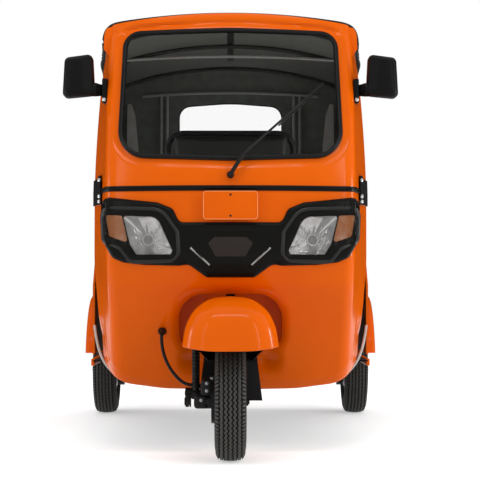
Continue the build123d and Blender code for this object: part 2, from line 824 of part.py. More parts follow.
# Plan of the hood's rounded rear corners: height, half width, rear end.
hood_plan_rows = (
    (body_top - 60, 611, back(body_rear - 4)),
    (1768, 571, back(body_rear - hood_lean)),
)
hood_corner = 85
roof_shoulder_rounding = 16
roof_limit = 1728


def hood(grow):
    """Solid inside the canopy, grown outwards, running out through its front and its foot."""
    foot = body_top - 60
    with BuildPart(mode=Mode.PRIVATE) as made:
        for distance, half_top, half_foot, shoulder, crown in hood_rows:
            with BuildSketch(front_view(distance)) as section:
                with BuildLine():
                    left = (-half_top - grow, shoulder + grow)
                    right = (half_top + grow, shoulder + grow)
                    ThreePointArc(left, (0, crown + grow), right)
                    Polyline(right, (half_foot + grow, foot), (-half_foot - grow, foot), left)
                make_face()
                fillet(section.vertices().group_by(Axis.Z)[-1], max(roof_shoulder_rounding + grow, 3))
        loft(ruled=True)
        with BuildPart(mode=Mode.PRIVATE) as profile_block:
            with BuildSketch(side_view(-900)) as profile:
                with BuildLine():
                    rim = back(body_rear) + grow
                    head = back(body_rear + 4 - hood_lean) + grow
                    nose = back(roof_front - 100)
                    top = roof_limit + grow
                    Polyline((nose, foot), (rim, foot), (rim, body_top), (head, top), (nose, top), close=True)
                make_face()
                fillet(profile.vertices().group_by(Axis.Z)[-1].sort_by(Axis.Y)[-1], hood_rounding + grow)
            extrude(amount=1800)
        add(profile_block.part, mode=Mode.INTERSECT)
        with BuildPart(mode=Mode.PRIVATE) as plan_block:
            for height, half, rear in hood_plan_rows:
                with BuildSketch(Plane.XY.offset(height)) as plan:
                    with BuildLine():
                        nose = back(roof_front - 100)
                        Polyline(
                            (-half - grow, nose), (half + grow, nose),
                            (half + grow, rear + grow), (-half - grow, rear + grow), close=True,
                        )
                    make_face()
                    fillet(plan.vertices().group_by(Axis.Y)[-1], hood_corner + grow)
            loft(ruled=True)
        add(plan_block.part, mode=Mode.INTERSECT)
    return made.part


hood_outer = hood(0)
hood_inner = hood(-hood_wall)
door_opening = block((-900, 900), (roof_front - 200, body_front), (0, eave_height))
rear_window_outline = (
    (-rear_window_half, rear_window_bottom), (rear_window_half, rear_window_bottom),
    (rear_window_half, rear_window_top), (-rear_window_half, rear_window_top),
)
with BuildPart() as canopy:
    add(hood_outer)
    add(hood_inner, mode=Mode.SUBTRACT)
    add(door_opening, mode=Mode.SUBTRACT)
    add(block((-900, 900), (-500, 3000), (0, body_top + touch)), mode=Mode.SUBTRACT)
    add(prism(rear_window_outline, rear_window_rounding, 2150, 2600), mode=Mode.SUBTRACT)
save(canopy, "canopy")

with BuildPart() as rear_window:
    add(hood(-hood_wall - touch))
    add(hood(-hood_wall - touch - 3), mode=Mode.SUBTRACT)
    add(prism(inset(rear_window_outline, -14), rear_window_rounding + 14, 2150, 2600), mode=Mode.INTERSECT)
save(rear_window, "rear_window")

bow_depth = 20
bow_width = 26
bow_outer = hood(-hood_wall - touch)
bow_inner = hood(-hood_wall - touch - bow_depth)
# Each bow: distance of its front face, height it reaches down to.
bow_rows = (
    (cowl_rear + touch, 1500), (880, 1560),
    (body_front + 4, body_top + touch), (2130, body_top + touch),
)
rail_low = 1560
with BuildPart() as bow_zone:
    for distance, low in bow_rows:
        add(block((-900, 900), (distance, distance + bow_width), (low, 2000)))
    add(block((-900, 900), (cowl_rear + touch, 2140), (rail_low, rail_low + bow_width)))
with BuildPart() as hood_frame:
    add(bow_outer)
    add(bow_inner, mode=Mode.SUBTRACT)
    add(bow_zone.part, mode=Mode.INTERSECT)
save(hood_frame, "hood_frame")

# ---- rear fittings ----------------------------------------------------------------------------------
lamp_half_height = 80
lamp_width = 96
lamp_depth = 30
lamp_middle = (500, 742)
with BuildPart() as tail_lamps:
    x, z = lamp_middle
    corners = (
        (x - lamp_width / 2, z - lamp_half_height), (x + lamp_width / 2, z - lamp_half_height),
        (x + lamp_width / 2, z + lamp_half_height), (x - lamp_width / 2, z + lamp_half_height),
    )
    with BuildPart(mode=Mode.PRIVATE) as lamp:
        add(prism(corners, 16, body_rear + touch, body_rear + lamp_depth - 12))
        fillet(lamp.edges().group_by(Axis.Y)[-1], 6)
    for piece in both_sides(lamp.part):
        add(piece)
save(tail_lamps, "tail_lamps")

flap_thickness = 4
flap_distance = 2258
flap_bottom = 118
with BuildPart() as rear_mud_flaps:
    flap = block((536, flare_half_width - 4), (flap_distance, flap_distance + flap_thickness),
                 (flap_bottom, body_bottom - touch))
    for piece in both_sides(flap):
        add(piece)
save(rear_mud_flaps, "rear_mud_flaps")

# ---- engine, rear suspension and drive --------------------------------------------------------------
engine_half = 160
engine_front = 1905
engine_rear = 2236
engine_low = 240
engine_top = 560
gearbox_radius = 44
shaft_radius = 12
shaft_nose = 130              # inner end of each drive shaft, in the gearbox
wheel_near = half_track - hub_half_length
wheel_far = half_track + hub_half_length
carrier_outer = wheel_near - clear
carrier_inner = carrier_outer - 30
carrier_radius = 76
arm_pivot = member_distances[1]
arm_pivot_height = rail_bottom + 28
arm_inner = rail_half_spacing + rail_width / 2 + 60 + touch
arm_outer = arm_inner + 62
arm_radius = 19

with BuildPart() as engine:
    add(block((-engine_half, engine_half), (engine_front, engine_rear), (engine_low, engine_top)))
    fillet(engine.edges().filter_by(Axis.Z), 22)
    add(rod((-engine_half - 20, engine_half + 20), wheelbase, tyre_radius, gearbox_radius))
    for side in (-1, 1):
        near, far = side * (shaft_nose - 1), side * (engine_half + 30)
        add(rod((min(near, far), max(near, far)), wheelbase, tyre_radius, shaft_radius + running),
            mode=Mode.SUBTRACT)
        near, far = side * (engine_half - 4), side * (rail_half_spacing - rail_width / 2 - touch)
        add(block((min(near, far), max(near, far)), (2090, 2150), (rail_bottom + 10, rail_bottom + 22)))
save(engine, "engine")

with BuildPart() as rear_arms:
    with BuildPart(mode=Mode.PRIVATE) as arm:
        add(rod((arm_inner, arm_outer), arm_pivot, arm_pivot_height, 26))
        add(tube((
            (arm_outer - 24, arm_pivot, arm_pivot_height), (arm_outer + 26, wheelbase - 130, tyre_radius + 6),
            (carrier_inner + 8, wheelbase, tyre_radius),
        ), arm_radius, 60))
        add(rod((carrier_inner, carrier_outer), wheelbase, tyre_radius, carrier_radius))
        add(rod((carrier_inner - 60, carrier_outer + 60), wheelbase, tyre_radius, shaft_radius + running),
            mode=Mode.SUBTRACT)
    for piece in both_sides(arm.part):
        add(piece)
save(rear_arms, "rear_arms")

strut_across = 440
strut_low = (1868, 236)
strut_high = (1905, 586)
spring_radius = 30
spring_ends = (285, 545)
with BuildPart() as rear_struts:
    with BuildPart(mode=Mode.PRIVATE) as strut:
        add(tube(((strut_across, *strut_low), (strut_across, *strut_high)), 10))
        lean = (strut_high[0] - strut_low[0]) / (strut_high[1] - strut_low[1])
        low, high = (strut_low[0] + lean * (end - strut_low[1]) for end in spring_ends)
        add(tube(((strut_across, low, spring_ends[0]), (strut_across, high, spring_ends[1])), spring_radius))
        add(block((strut_across - 24, strut_across + 24), (strut_high[0] - 30, strut_high[0] + 30),
                  (bench_deck - bench_wall - touch - 12, bench_deck - bench_wall - touch)))
        add(rear_arms.part, mode=Mode.SUBTRACT)
        add(band(100, bench_deck - bench_wall - touch), mode=Mode.INTERSECT)
    for piece in both_sides(strut.part):
        add(piece)
save(rear_struts, "rear_struts")

silencer_distance = 2296
silencer_height = 208
silencer_radius = 46
with BuildPart() as silencer:
    add(rod((-150, 190), silencer_distance, silencer_height, silencer_radius))
    fillet(silencer.edges().filter_by(GeomType.CIRCLE), 12)
    add(tube(((180, silencer_distance, silencer_height), (250, silencer_distance, silencer_height),
              (250, silencer_distance + 66, silencer_height - 14)), 14, 28))
    add(tube(((-90, silencer_distance, silencer_height + 20), (-90, engine_rear - 20, engine_low + 26)), 12))
    add(block((-engine_half - 1, engine_half + 1), (engine_front, engine_rear + touch), (100, engine_top)),
        mode=Mode.SUBTRACT)
save(silencer, "silencer")

# ---- wheels -------------------------------------------------------------------------------------------
bead_half = tyre_width / 2 - 20
lip_top = rim_radius + rim_lip


def wheel_section(across, distance):
    """Plane through a wheel's axis, for a section that is turned about it."""
    return Plane(origin=(across, back(distance), tyre_radius), x_dir=(1, 0, 0), z_dir=(0, -1, 0))


def turned(outline, across, distance):
    """Ring turned about a wheel's axis from (along, radius) corners."""
    with BuildPart(mode=Mode.PRIVATE) as made:
        with BuildSketch(wheel_section(across, distance)):
            with BuildLine():
                Polyline(*outline, close=True)
            make_face()
        revolve(axis=Axis((across, back(distance), tyre_radius), (1, 0, 0)))
    return made.part


def tyre(across, distance):
    """Tyre with upright beads, bulged walls and a flat tread."""
    half = tyre_width / 2
    right = (
        (bead_half, rim_radius + touch / 3), (bead_half, lip_top + 3),
        (half - 6, lip_top + 21), (half, lip_top + 45), (half - 3, tyre_radius - 24),
        (half - tyre_shoulder / 2, tyre_radius - 6), (half - tyre_shoulder, tyre_radius),
    )
    return turned(right + tuple((-x, r) for x, r in reversed(right)), across, distance)


def rim(across, distance, facing, bore):
    """Pressed wheel with hub and brake drum; the drum is on the side away from facing."""
    lip = bead_half + touch
    barrel = rim_radius - rim_gauge
    outline = (
        (-lip, lip_top), (-lip, rim_radius), (lip, rim_radius), (lip, lip_top), (lip + rim_gauge, lip_top),
        (lip + rim_gauge, barrel), (14, barrel), (14, hub_radius), (hub_half_length, hub_radius),
        (hub_half_length, bore), (-hub_half_length, bore), (-hub_half_length, drum_radius), (-12, drum_radius),
        (-12, hub_radius), (7, hub_radius), (7, barrel), (-lip - rim_gauge, barrel), (-lip - rim_gauge, lip_top),
    )
    return turned(tuple((facing * x, r) for x, r in outline), across, distance)


nut_radius = 19
nut_length = 22
# Name, place across, distance behind the front axle, side away from the drum, bore. Each rear
# wheel is keyed on its drive shaft and carries it round.
wheel_rows = (
    ("front", 0, 0, 1, axle_radius + running),
    ("rear_left", half_track, wheelbase, 1, shaft_radius - 1),
    ("rear_right", -half_track, wheelbase, -1, shaft_radius - 1),
)
for name, across, distance, facing, bore in wheel_rows:
    with BuildPart() as wheel_tyre:
        add(tyre(across, distance))
    save(wheel_tyre, f"{name}_tyre")
    with BuildPart() as wheel_rim:
        add(rim(across, distance, facing, bore))
        if across:
            tip = facing * (wheel_far + nut_length)
            nose = facing * shaft_nose
            face = facing * (wheel_far - 1)
            add(rod((min(nose, tip), max(nose, tip)), distance, tyre_radius, shaft_radius))
            add(rod((min(face, tip), max(face, tip)), distance, tyre_radius, nut_radius))
    save(wheel_rim, f"{name}_rim")

# ---- fork, front suspension and steering ----------------------------------------------------------------
leg_across = -125
leg_distance = 70
leg_radius = 14
leg_shoulder = 446
link_pivot = (leg_distance, 235)
link_inner = -hub_half_length - clear - 40
link_thickness = 14
boss_radius = 23
shock_low = (10, 232)
shock_high = (44, 432)
shock_spring = 15
shock_pin = 7
fitting_radius = 8


def steer_rod(low, high, radius):
    """Round bar along the steering axis between two heights."""
    with BuildPart(mode=Mode.PRIVATE) as made:
        with BuildSketch(Plane(origin=(0, back(steer_distance(low)), low), x_dir=(1, 0, 0),
                               z_dir=(0, sin(radians(rake_angle)), cos(radians(rake_angle))))):
            Circle(radius)
        extrude(amount=(high - low) / cos(radians(rake_angle)))
    return made.part


with BuildPart() as steering_head:
    middle = steer_distance(head_bottom)
    add(block((-60, 60), (middle - 56, middle + 48), (arch_top + cowl_wall + touch, head_bottom + 4)))
    add(steer_rod(head_bottom - 2, head_bottom + head_length, column_radius + 13))
    add(steer_rod(head_bottom - 60, head_bottom + 200, column_radius + running), mode=Mode.SUBTRACT)
    add(band(0, arch_top + cowl_wall + touch), mode=Mode.SUBTRACT)
save(steering_head, "steering_head")

leg_path = (
    (0, steer_distance(column_bottom + 12), column_bottom + 12),
    (leg_across, leg_distance, leg_shoulder), (leg_across, leg_distance, link_pivot[1]),
)
with BuildPart() as fork_leg:
    add(steer_rod(column_bottom, bar_height, column_radius))
    add(tube(leg_path, leg_radius, 40))
    outer_face = leg_across - leg_radius
    add(rod((outer_face, link_inner - link_thickness - 3), *link_pivot, boss_radius))
    add(rod((outer_face - 26, link_inner + 4), *link_pivot, 9))
    add(rod((outer_face - 24, outer_face), *link_pivot, 20))
    add(block((leg_across - 9, leg_across + 9), (shock_high[0] - 14, leg_distance),
              (shock_high[1], leg_shoulder)))
save(fork_leg, "fork_leg")

with BuildPart() as front_link:
    rise = link_pivot[1] - tyre_radius
    with BuildSketch(side_view(link_inner - link_thickness)):
        with Locations((back(link_pivot[0] / 2), tyre_radius + rise / 2)):
            SlotCenterToCenter(sqrt(link_pivot[0] ** 2 + rise ** 2), 2 * boss_radius,
                               rotation=degrees(atan2(rise, link_pivot[0])))
    extrude(amount=link_thickness)
    add(rod((link_inner - 30, link_inner + 30), *link_pivot, 9 + running), mode=Mode.SUBTRACT)
    add(rod((link_inner - link_thickness - 8, hub_half_length + 18), 0, tyre_radius, axle_radius))
    add(rod((hub_half_length + 1, hub_half_length + 14), 0, tyre_radius, 16))
    add(rod((leg_across - 15, link_inner - 2), *shock_low, shock_pin))
    plate_face = -hub_half_length - clear
    add(rod((plate_face - 12, plate_face), 0, tyre_radius, drum_radius - 2))
    add(rod((link_inner - 2, plate_face - 12), 0, tyre_radius, 26))
    add(rod((hose_points[-1][0], plate_face - 12), *hose_points[-1][1:], fitting_radius))
save(front_link, "front_link")

with BuildPart() as front_shock:
    add(tube(((leg_across, *shock_low), (leg_across, *shock_high)), 8))
    lean = (shock_high[0] - shock_low[0]) / (shock_high[1] - shock_low[1])
    add(tube(((leg_across, shock_low[0] + lean * 30, shock_low[1] + 30),
              (leg_across, shock_low[0] + lean * 172, shock_low[1] + 172)), shock_spring))
    add(rod((leg_across - 9, leg_across + 9), *shock_low, 14))
    add(rod((leg_across - 30, leg_across + 30), *shock_low, shock_pin + running), mode=Mode.SUBTRACT)
    add(band(0, shock_high[1] - touch), mode=Mode.INTERSECT)
save(front_shock, "front_shock")


def hose_bends(points):
    """Bend radius at each corner of the hose, as large as its two runs allow."""
    radii = []
    for before, corner, after in zip(points, points[1:], points[2:]):
        run_in = Vector(*corner) - Vector(*before)
        run_out = Vector(*after) - Vector(*corner)
        turn = radians(run_in.get_angle(run_out))
        radii.append(0.45 * min(run_in.length, run_out.length) / tan(turn / 2))
    return radii


with BuildPart() as brake_hose:
    route = [(x, back(distance), height) for x, distance, height in hose_points]
    bends = hose_bends(route)
    print("hose bend radii", [round(bend) for bend in bends])
    with BuildLine() as line:
        FilletPolyline(*route, radius=bends)
    with BuildSketch(Plane(origin=line.wire() @ 0, z_dir=line.wire() % 0)):
        Circle(hose_radius)
    sweep()
    swept = pi * hose_radius ** 2 * line.wire().length
    print("hose volume", round(brake_hose.part.volume), "section times length", round(swept))
save(brake_hose, "brake_hose")

# Each row is a level section of the mudguard: height, half width, front end, rear end, corner rounding.
mudguard_rows = (
    (412, 168, -front_overhang, 122, 112),
    (464, 160, -256, 119, 108),
    (522, 137, -230, 100, 96),
    (561, 98, -180, 62, 72),
    (580, 54, -124, 14, 42),
)
mudguard_wall = 5


def mudguard_solid(shrink, foot):
    """Solid of the mudguard, shrunk all round and continued below its rim."""
    with BuildPart(mode=Mode.PRIVATE) as made:
        for number, (height, half, front, rear, rounding) in enumerate(mudguard_rows):
            level = height - (foot if number == 0 else shrink)
            with BuildSketch(Plane.XY.offset(level)):
                with Locations((0, back((front + rear) / 2))):
                    RectangleRounded(2 * (half - shrink), rear - front - 2 * shrink, rounding - shrink)
        loft()
    return made.part


with BuildPart() as front_mudguard:
    add(mudguard_solid(0, 0))
    add(mudguard_solid(mudguard_wall, 0.5), mode=Mode.SUBTRACT)
    add(steer_rod(column_bottom - 60, bar_height, column_radius + touch), mode=Mode.SUBTRACT)
    add(tube(leg_path, leg_radius + touch, 40), mode=Mode.SUBTRACT)
save(front_mudguard, "front_mudguard")

mud_flap_outline = ((-119, 194), (119, 194), (90, 420), (-90, 420))
with BuildPart() as front_mud_flap:
    rim_height = mudguard_rows[0][0] - touch
    with BuildSketch(side_view(-130)):
        with BuildLine():
            Polyline(
                (back(112), rim_height), (back(121), rim_height), (back(222), 343), (back(238), 194),
                (back(234), 194), (back(218), 340), close=True,
            )
        make_face()
    extrude(amount=260)
    add(prism(mud_flap_outline, 0), mode=Mode.INTERSECT)
save(front_mud_flap, "front_mud_flap")

bar_half = 300
bar_radius = 11
bar_place = (254, bar_height + 18)
grip_radius = 16
grip_length = 110
with BuildPart() as handlebar:
    add(rod((-bar_half, bar_half), *bar_place, bar_radius))
    add(block((-34, 34), (bar_place[0] - 24, bar_place[0] + 14), (bar_height + 4.7, bar_place[1] + 14)))
save(handlebar, "handlebar")

with BuildPart() as handle_grips:
    grip = rod((bar_half - grip_length, bar_half + 4), *bar_place, grip_radius)
    for piece in both_sides(grip):
        add(piece)
    add(rod((-bar_half - touch, bar_half + touch), *bar_place, bar_radius + touch), mode=Mode.SUBTRACT)
save(handle_grips, "handle_grips")

with BuildPart() as instrument_pod:
    add(block((-84, 84), (bar_place[0] - 46, bar_place[0] + 30),
              (bar_place[1] + 14 + touch, bar_place[1] + 62)))
    fillet(instrument_pod.edges().filter_by(Axis.Z), 20)
save(instrument_pod, "instrument_pod")
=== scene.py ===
import json
from math import atan2, cos, hypot, pi, radians, sin, sqrt, tan

import bmesh
import bpy
import numpy as np
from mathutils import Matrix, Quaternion, Vector


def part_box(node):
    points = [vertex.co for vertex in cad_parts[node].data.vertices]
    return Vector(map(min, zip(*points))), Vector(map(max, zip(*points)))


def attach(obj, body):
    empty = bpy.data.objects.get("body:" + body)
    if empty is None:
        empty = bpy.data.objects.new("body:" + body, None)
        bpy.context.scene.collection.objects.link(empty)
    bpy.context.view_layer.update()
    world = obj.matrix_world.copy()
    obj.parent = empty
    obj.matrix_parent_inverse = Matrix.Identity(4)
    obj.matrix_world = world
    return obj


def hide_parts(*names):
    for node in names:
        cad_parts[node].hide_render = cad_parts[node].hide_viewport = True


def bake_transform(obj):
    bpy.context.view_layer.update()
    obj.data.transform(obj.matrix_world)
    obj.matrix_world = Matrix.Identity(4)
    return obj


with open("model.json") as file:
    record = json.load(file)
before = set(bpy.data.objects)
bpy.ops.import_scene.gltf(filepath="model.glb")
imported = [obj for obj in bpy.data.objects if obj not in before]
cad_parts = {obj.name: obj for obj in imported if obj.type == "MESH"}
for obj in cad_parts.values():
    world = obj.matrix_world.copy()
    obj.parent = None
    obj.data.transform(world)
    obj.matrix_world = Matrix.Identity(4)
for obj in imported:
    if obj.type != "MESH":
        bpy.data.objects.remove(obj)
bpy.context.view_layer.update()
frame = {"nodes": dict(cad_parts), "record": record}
nodes = frame["nodes"]
print("stage: frame loaded,", len(nodes), "nodes")

# Places are in mm: across (+ is the vehicle's left), distance behind the front axle, height.
# Meshes are in metres.
frontAxleY = (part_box("front_rim")[0].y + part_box("front_rim")[1].y) / 2


def place(across, distance, height):
    return (across / 1000, frontAxleY + distance / 1000, height / 1000)


def placeAll(points):
    points = np.asarray(points, float).reshape(-1, 3) / 1000
    points[:, 1] += frontAxleY
    return points.tolist()


def smoothStep(low, high, value):
    t = np.clip((np.asarray(value, float) - low) / (high - low), 0, 1)
    return t * t * (3 - 2 * t)


def link(obj):
    bpy.context.scene.collection.objects.link(obj)
    return obj


def smoothShade(obj, angle=35):
    obj.data.polygons.foreach_set("use_smooth", [True] * len(obj.data.polygons))
    obj.data.set_sharp_from_angle(angle=radians(angle))
    obj.data.update()


def recalculateNormals(obj, merge=1e-6):
    bm = bmesh.new()
    bm.from_mesh(obj.data)
    bmesh.ops.remove_doubles(bm, verts=bm.verts, dist=merge)
    bmesh.ops.recalc_face_normals(bm, faces=bm.faces)
    bm.to_mesh(obj.data)
    bm.free()


def meshObject(name, vertices, faces, sharpAngle=35):
    mesh = bpy.data.meshes.new(name)
    mesh.from_pydata([tuple(v) for v in vertices], [], [tuple(f) for f in faces])
    mesh.validate()
    obj = link(bpy.data.objects.new(name, mesh))
    recalculateNormals(obj)
    smoothShade(obj, sharpAngle)
    return obj


def quads(index):
    return np.stack([index[:-1, :-1], index[:-1, 1:], index[1:, 1:], index[1:, :-1]], -1).reshape(-1, 4)


def strip(first, second):
    return np.stack([first[:-1], first[1:], second[1:], second[:-1]], -1)


def shellMesh(name, outer, inner, wrap=False, sharpAngle=35):
    # Closed shell between two grids of points; columns wrap round when wrap is set.
    outer, inner = np.asarray(outer, float), np.asarray(inner, float)
    rows, columns = outer.shape[:2]
    index = np.arange(rows * columns).reshape(rows, columns)
    if wrap:
        index = np.column_stack([index, index[:, :1]])
    under = index + rows * columns
    faces = [quads(index), quads(under)[:, ::-1], strip(under[0], index[0]), strip(index[-1], under[-1])]
    if not wrap:
        faces += [strip(index[:, 0], under[:, 0]), strip(under[:, -1], index[:, -1])]
    points = np.concatenate([outer.reshape(-1, 3), inner.reshape(-1, 3)])
    return meshObject(name, placeAll(points), np.concatenate(faces).tolist(), sharpAngle)


def ringMesh(name, rings, closedRound=False, sharpAngle=35):
    # Rings of points joined one to the next, capped at both ends, or joined round to the first.
    rings = np.asarray(rings, float)
    count, around = rings.shape[:2]
    index = np.arange(count * around).reshape(count, around)
    index = np.column_stack([index, index[:, :1]])
    if closedRound:
        index = np.vstack([index, index[:1]])
    faces = quads(index).tolist()
    if not closedRound:
        faces += [index[0, :-1].tolist()[::-1], index[-1, :-1].tolist()]
    return meshObject(name, placeAll(rings), faces, sharpAngle)


def turnedMesh(name, profile, across, distance, height, steps=96, sharpAngle=35):
    # Ring turned about an axis along X from a closed (along, radius) outline.
    profile = np.array(profile, float)
    rings = []
    for turn in np.linspace(0, 2 * pi, steps, endpoint=False):
        radius = np.maximum(profile[:, 1], 0.01)
        rings.append(np.column_stack([across + profile[:, 0], distance + radius * cos(turn),
            height + radius * sin(turn)]))
    return ringMesh(name, rings, True, sharpAngle)


def loftBox(name, centre, size, rounding, segments=4):
    # Block with rounded edges, centre and size in mm.
    bm = bmesh.new()
    bmesh.ops.create_cube(bm, size=1)
    for vertex in bm.verts:
        vertex.co = Vector(place(*[c + s * v for c, s, v in zip(centre, size, vertex.co)]))
    if rounding:
        bmesh.ops.bevel(bm, geom=bm.edges[:], offset=rounding / 1000, segments=segments, affect="EDGES",
            profile=0.5)
    bmesh.ops.recalc_face_normals(bm, faces=bm.faces)
    mesh = bpy.data.meshes.new(name)
    bm.to_mesh(mesh)
    bm.free()
    obj = link(bpy.data.objects.new(name, mesh))
    smoothShade(obj, 40)
    return obj


def applyModifiers(obj):
    graph = bpy.context.evaluated_depsgraph_get()
    made = bpy.data.meshes.new_from_object(obj.evaluated_get(graph))
    obj.modifiers.clear()
    obj.data = made
    return obj


def cut(obj, tools, operation="DIFFERENCE", angle=35):
    for tool in tools if isinstance(tools, (list, tuple)) else [tools]:
        modifier = obj.modifiers.new("cut", "BOOLEAN")
        modifier.operation = operation
        modifier.solver = "EXACT"
        modifier.object = tool
        applyModifiers(obj)
        bpy.data.objects.remove(tool)
    smoothShade(obj, angle)
    return obj


def joined(name, objects, angle=35):
    # One mesh from several, keeping each one's own faces.
    bm = bmesh.new()
    for obj in objects:
        bm.from_mesh(obj.data)
        bpy.data.objects.remove(obj)
    mesh = bpy.data.meshes.new(name)
    bm.to_mesh(mesh)
    bm.free()
    made = link(bpy.data.objects.new(name, mesh))
    smoothShade(made, angle)
    return made


def finishPiece(obj, body, material, replaces=()):
    obj.data.materials.clear()
    obj.data.materials.append(material)
    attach(obj, body)
    if replaces:
        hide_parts(*replaces)
    return obj


def mirrorCopy(obj, name):
    mesh = obj.data.copy()
    for vertex in mesh.vertices:
        vertex.co.x = -vertex.co.x
    mesh.flip_normals()
    return link(bpy.data.objects.new(name, mesh))


def monotoneRun(table, levels):
    # Monotone cubic run through rows whose first column is the level, so nothing overshoots.
    table = np.array(table, float)
    z, values = table[:, 0], table[:, 1:]
    steps = np.diff(z)[:, None]
    slopes = np.diff(values, axis=0) / steps
    tangents = np.zeros_like(values)
    tangents[0], tangents[-1] = slopes[0], slopes[-1]
    if len(z) > 2:
        w1, w2 = 2 * steps[1:] + steps[:-1], steps[1:] + 2 * steps[:-1]
        with np.errstate(divide="ignore", invalid="ignore"):
            harmonic = (w1 + w2) / (w1 / slopes[:-1] + w2 / slopes[1:])
        tangents[1:-1] = np.where(slopes[:-1] * slopes[1:] > 0, harmonic, 0)
    levels = np.clip(np.asarray(levels, float), z[0], z[-1])
    k = np.clip(np.searchsorted(z, levels, side="right") - 1, 0, len(z) - 2)
    h = (z[k + 1] - z[k])[..., None]
    t = ((levels - z[k]) / (z[k + 1] - z[k]))[..., None]
    return ((2 * t**3 - 3 * t**2 + 1) * values[k] + (t**3 - 2 * t**2 + t) * h * tangents[k]
        + (-2 * t**3 + 3 * t**2) * values[k + 1] + (t**3 - t**2) * h * tangents[k + 1])


def roundedOutline(points, rounding, steps=7):
    # Corner arcs by the tangent points of a fillet; rounding is one value or one for each corner.
    made = []
    count = len(points)
    radii = rounding if isinstance(rounding, (list, tuple)) else [rounding] * count
    for number in range(count):
        before, corner, after = (np.array(points[(number + k) % count], float) for k in (-1, 0, 1))
        if not radii[number]:
            made.append(tuple(corner))
            continue
        toBefore = (before - corner) / np.linalg.norm(before - corner)
        toAfter = (after - corner) / np.linalg.norm(after - corner)
        half = np.arccos(np.clip(toBefore @ toAfter, -1, 1)) / 2
        reach = min(radii[number] / tan(half), 0.48 * np.linalg.norm(before - corner),
            0.48 * np.linalg.norm(after - corner))
        radius = reach * tan(half)
        centre = corner + (toBefore + toAfter) / np.linalg.norm(toBefore + toAfter) * radius / sin(half)
        start, end = corner + toBefore * reach, corner + toAfter * reach
        a0, a1 = atan2(*(start - centre)[::-1]), atan2(*(end - centre)[::-1])
        sweep = (a1 - a0 + pi) % (2 * pi) - pi
        made += [(centre[0] + radius * cos(a0 + sweep * k / steps),
            centre[1] + radius * sin(a0 + sweep * k / steps)) for k in range(steps + 1)]
    return made


def prismTool(outline, front, rear):
    # Closed block with a front-view outline, for cutting.
    count = len(outline)
    points = [(x, front, z) for x, z in outline] + [(x, rear, z) for x, z in outline]
    faces = [tuple(range(count)), tuple(range(count, 2 * count))[::-1]]
    faces += [(i, i + count, (i + 1) % count + count, (i + 1) % count) for i in range(count)]
    return meshObject("tool", placeAll(points), faces)


def boxTool(across, distance, height):
    outline = [(across[0], height[0]), (across[1], height[0]), (across[1], height[1]), (across[0], height[1])]
    return prismTool(outline, *distance)


def outlineDistance(outline, x, z):
    # Distance in from an outline in the front view, negative outside.
    x, z = np.asarray(x, float), np.asarray(z, float)
    nearest = np.full(x.shape, 1e9)
    inside = np.zeros(x.shape, bool)
    for (x0, z0), (x1, z1) in zip(outline, outline[1:] + outline[:1]):
        dx, dz = x1 - x0, z1 - z0
        t = np.clip(((x - x0) * dx + (z - z0) * dz) / max(dx * dx + dz * dz, 1e-9), 0, 1)
        nearest = np.minimum(nearest, np.hypot(x - x0 - t * dx, z - z0 - t * dz))
        crosses = (z0 > z) != (z1 > z)
        with np.errstate(divide="ignore", invalid="ignore"):
            inside ^= crosses & (x < x0 + (z - z0) * dx / (dz if dz else 1e-9))
    return np.where(inside, nearest, -nearest)


def mirroredOutline(points):
    return list(points) + [(-x, z) for x, z in reversed(points)]


def otherSide(points):
    return [(-x, z) for x, z in reversed(points)]


def dense(outline, step=18):
    points = []
    for (x0, z0), (x1, z1) in zip(outline, outline[1:] + outline[:1]):
        count = max(1, int(hypot(x1 - x0, z1 - z0) // step))
        points += [(x0 + (x1 - x0) * k / count, z0 + (z1 - z0) * k / count) for k in range(count)]
    return points


def pipe(name, points, radius, sides=8, smooth=True, cyclic=False):
    # Round bar or hose through points in mm, made from a curve and kept as a mesh.
    curve = bpy.data.curves.new(name, "CURVE")
    curve.dimensions = "3D"
    curve.bevel_depth = radius / 1000
    curve.bevel_resolution = sides
    curve.use_fill_caps = not cyclic
    spline = curve.splines.new("NURBS" if smooth else "POLY")
    spline.points.add(len(points) - 1)
    for point, co in zip(spline.points, placeAll(points)):
        point.co = (*co, 1)
    if smooth:
        spline.order_u = min(4, len(points))
        spline.use_endpoint_u = not cyclic
        spline.resolution_u = 8
    spline.use_cyclic_u = cyclic
    obj = link(bpy.data.objects.new(name, curve))
    mesh = bpy.data.meshes.new_from_object(obj.evaluated_get(bpy.context.evaluated_depsgraph_get()))
    bpy.data.objects.remove(obj)
    made = link(bpy.data.objects.new(name, mesh))
    recalculateNormals(made)
    smoothShade(made, 40)
    return made


def geometryGroup(name, inputs):
    group = bpy.data.node_groups.new(name, "GeometryNodeTree")
    group.interface.new_socket("Geometry", in_out="INPUT", socket_type="NodeSocketGeometry")
    for label, kind, default in inputs:
        socket = group.interface.new_socket(label, in_out="INPUT", socket_type=kind)
        if default is not None:
            socket.default_value = default
    group.interface.new_socket("Geometry", in_out="OUTPUT", socket_type="NodeSocketGeometry")
    return group, group.nodes.new("NodeGroupInput"), group.nodes.new("NodeGroupOutput")


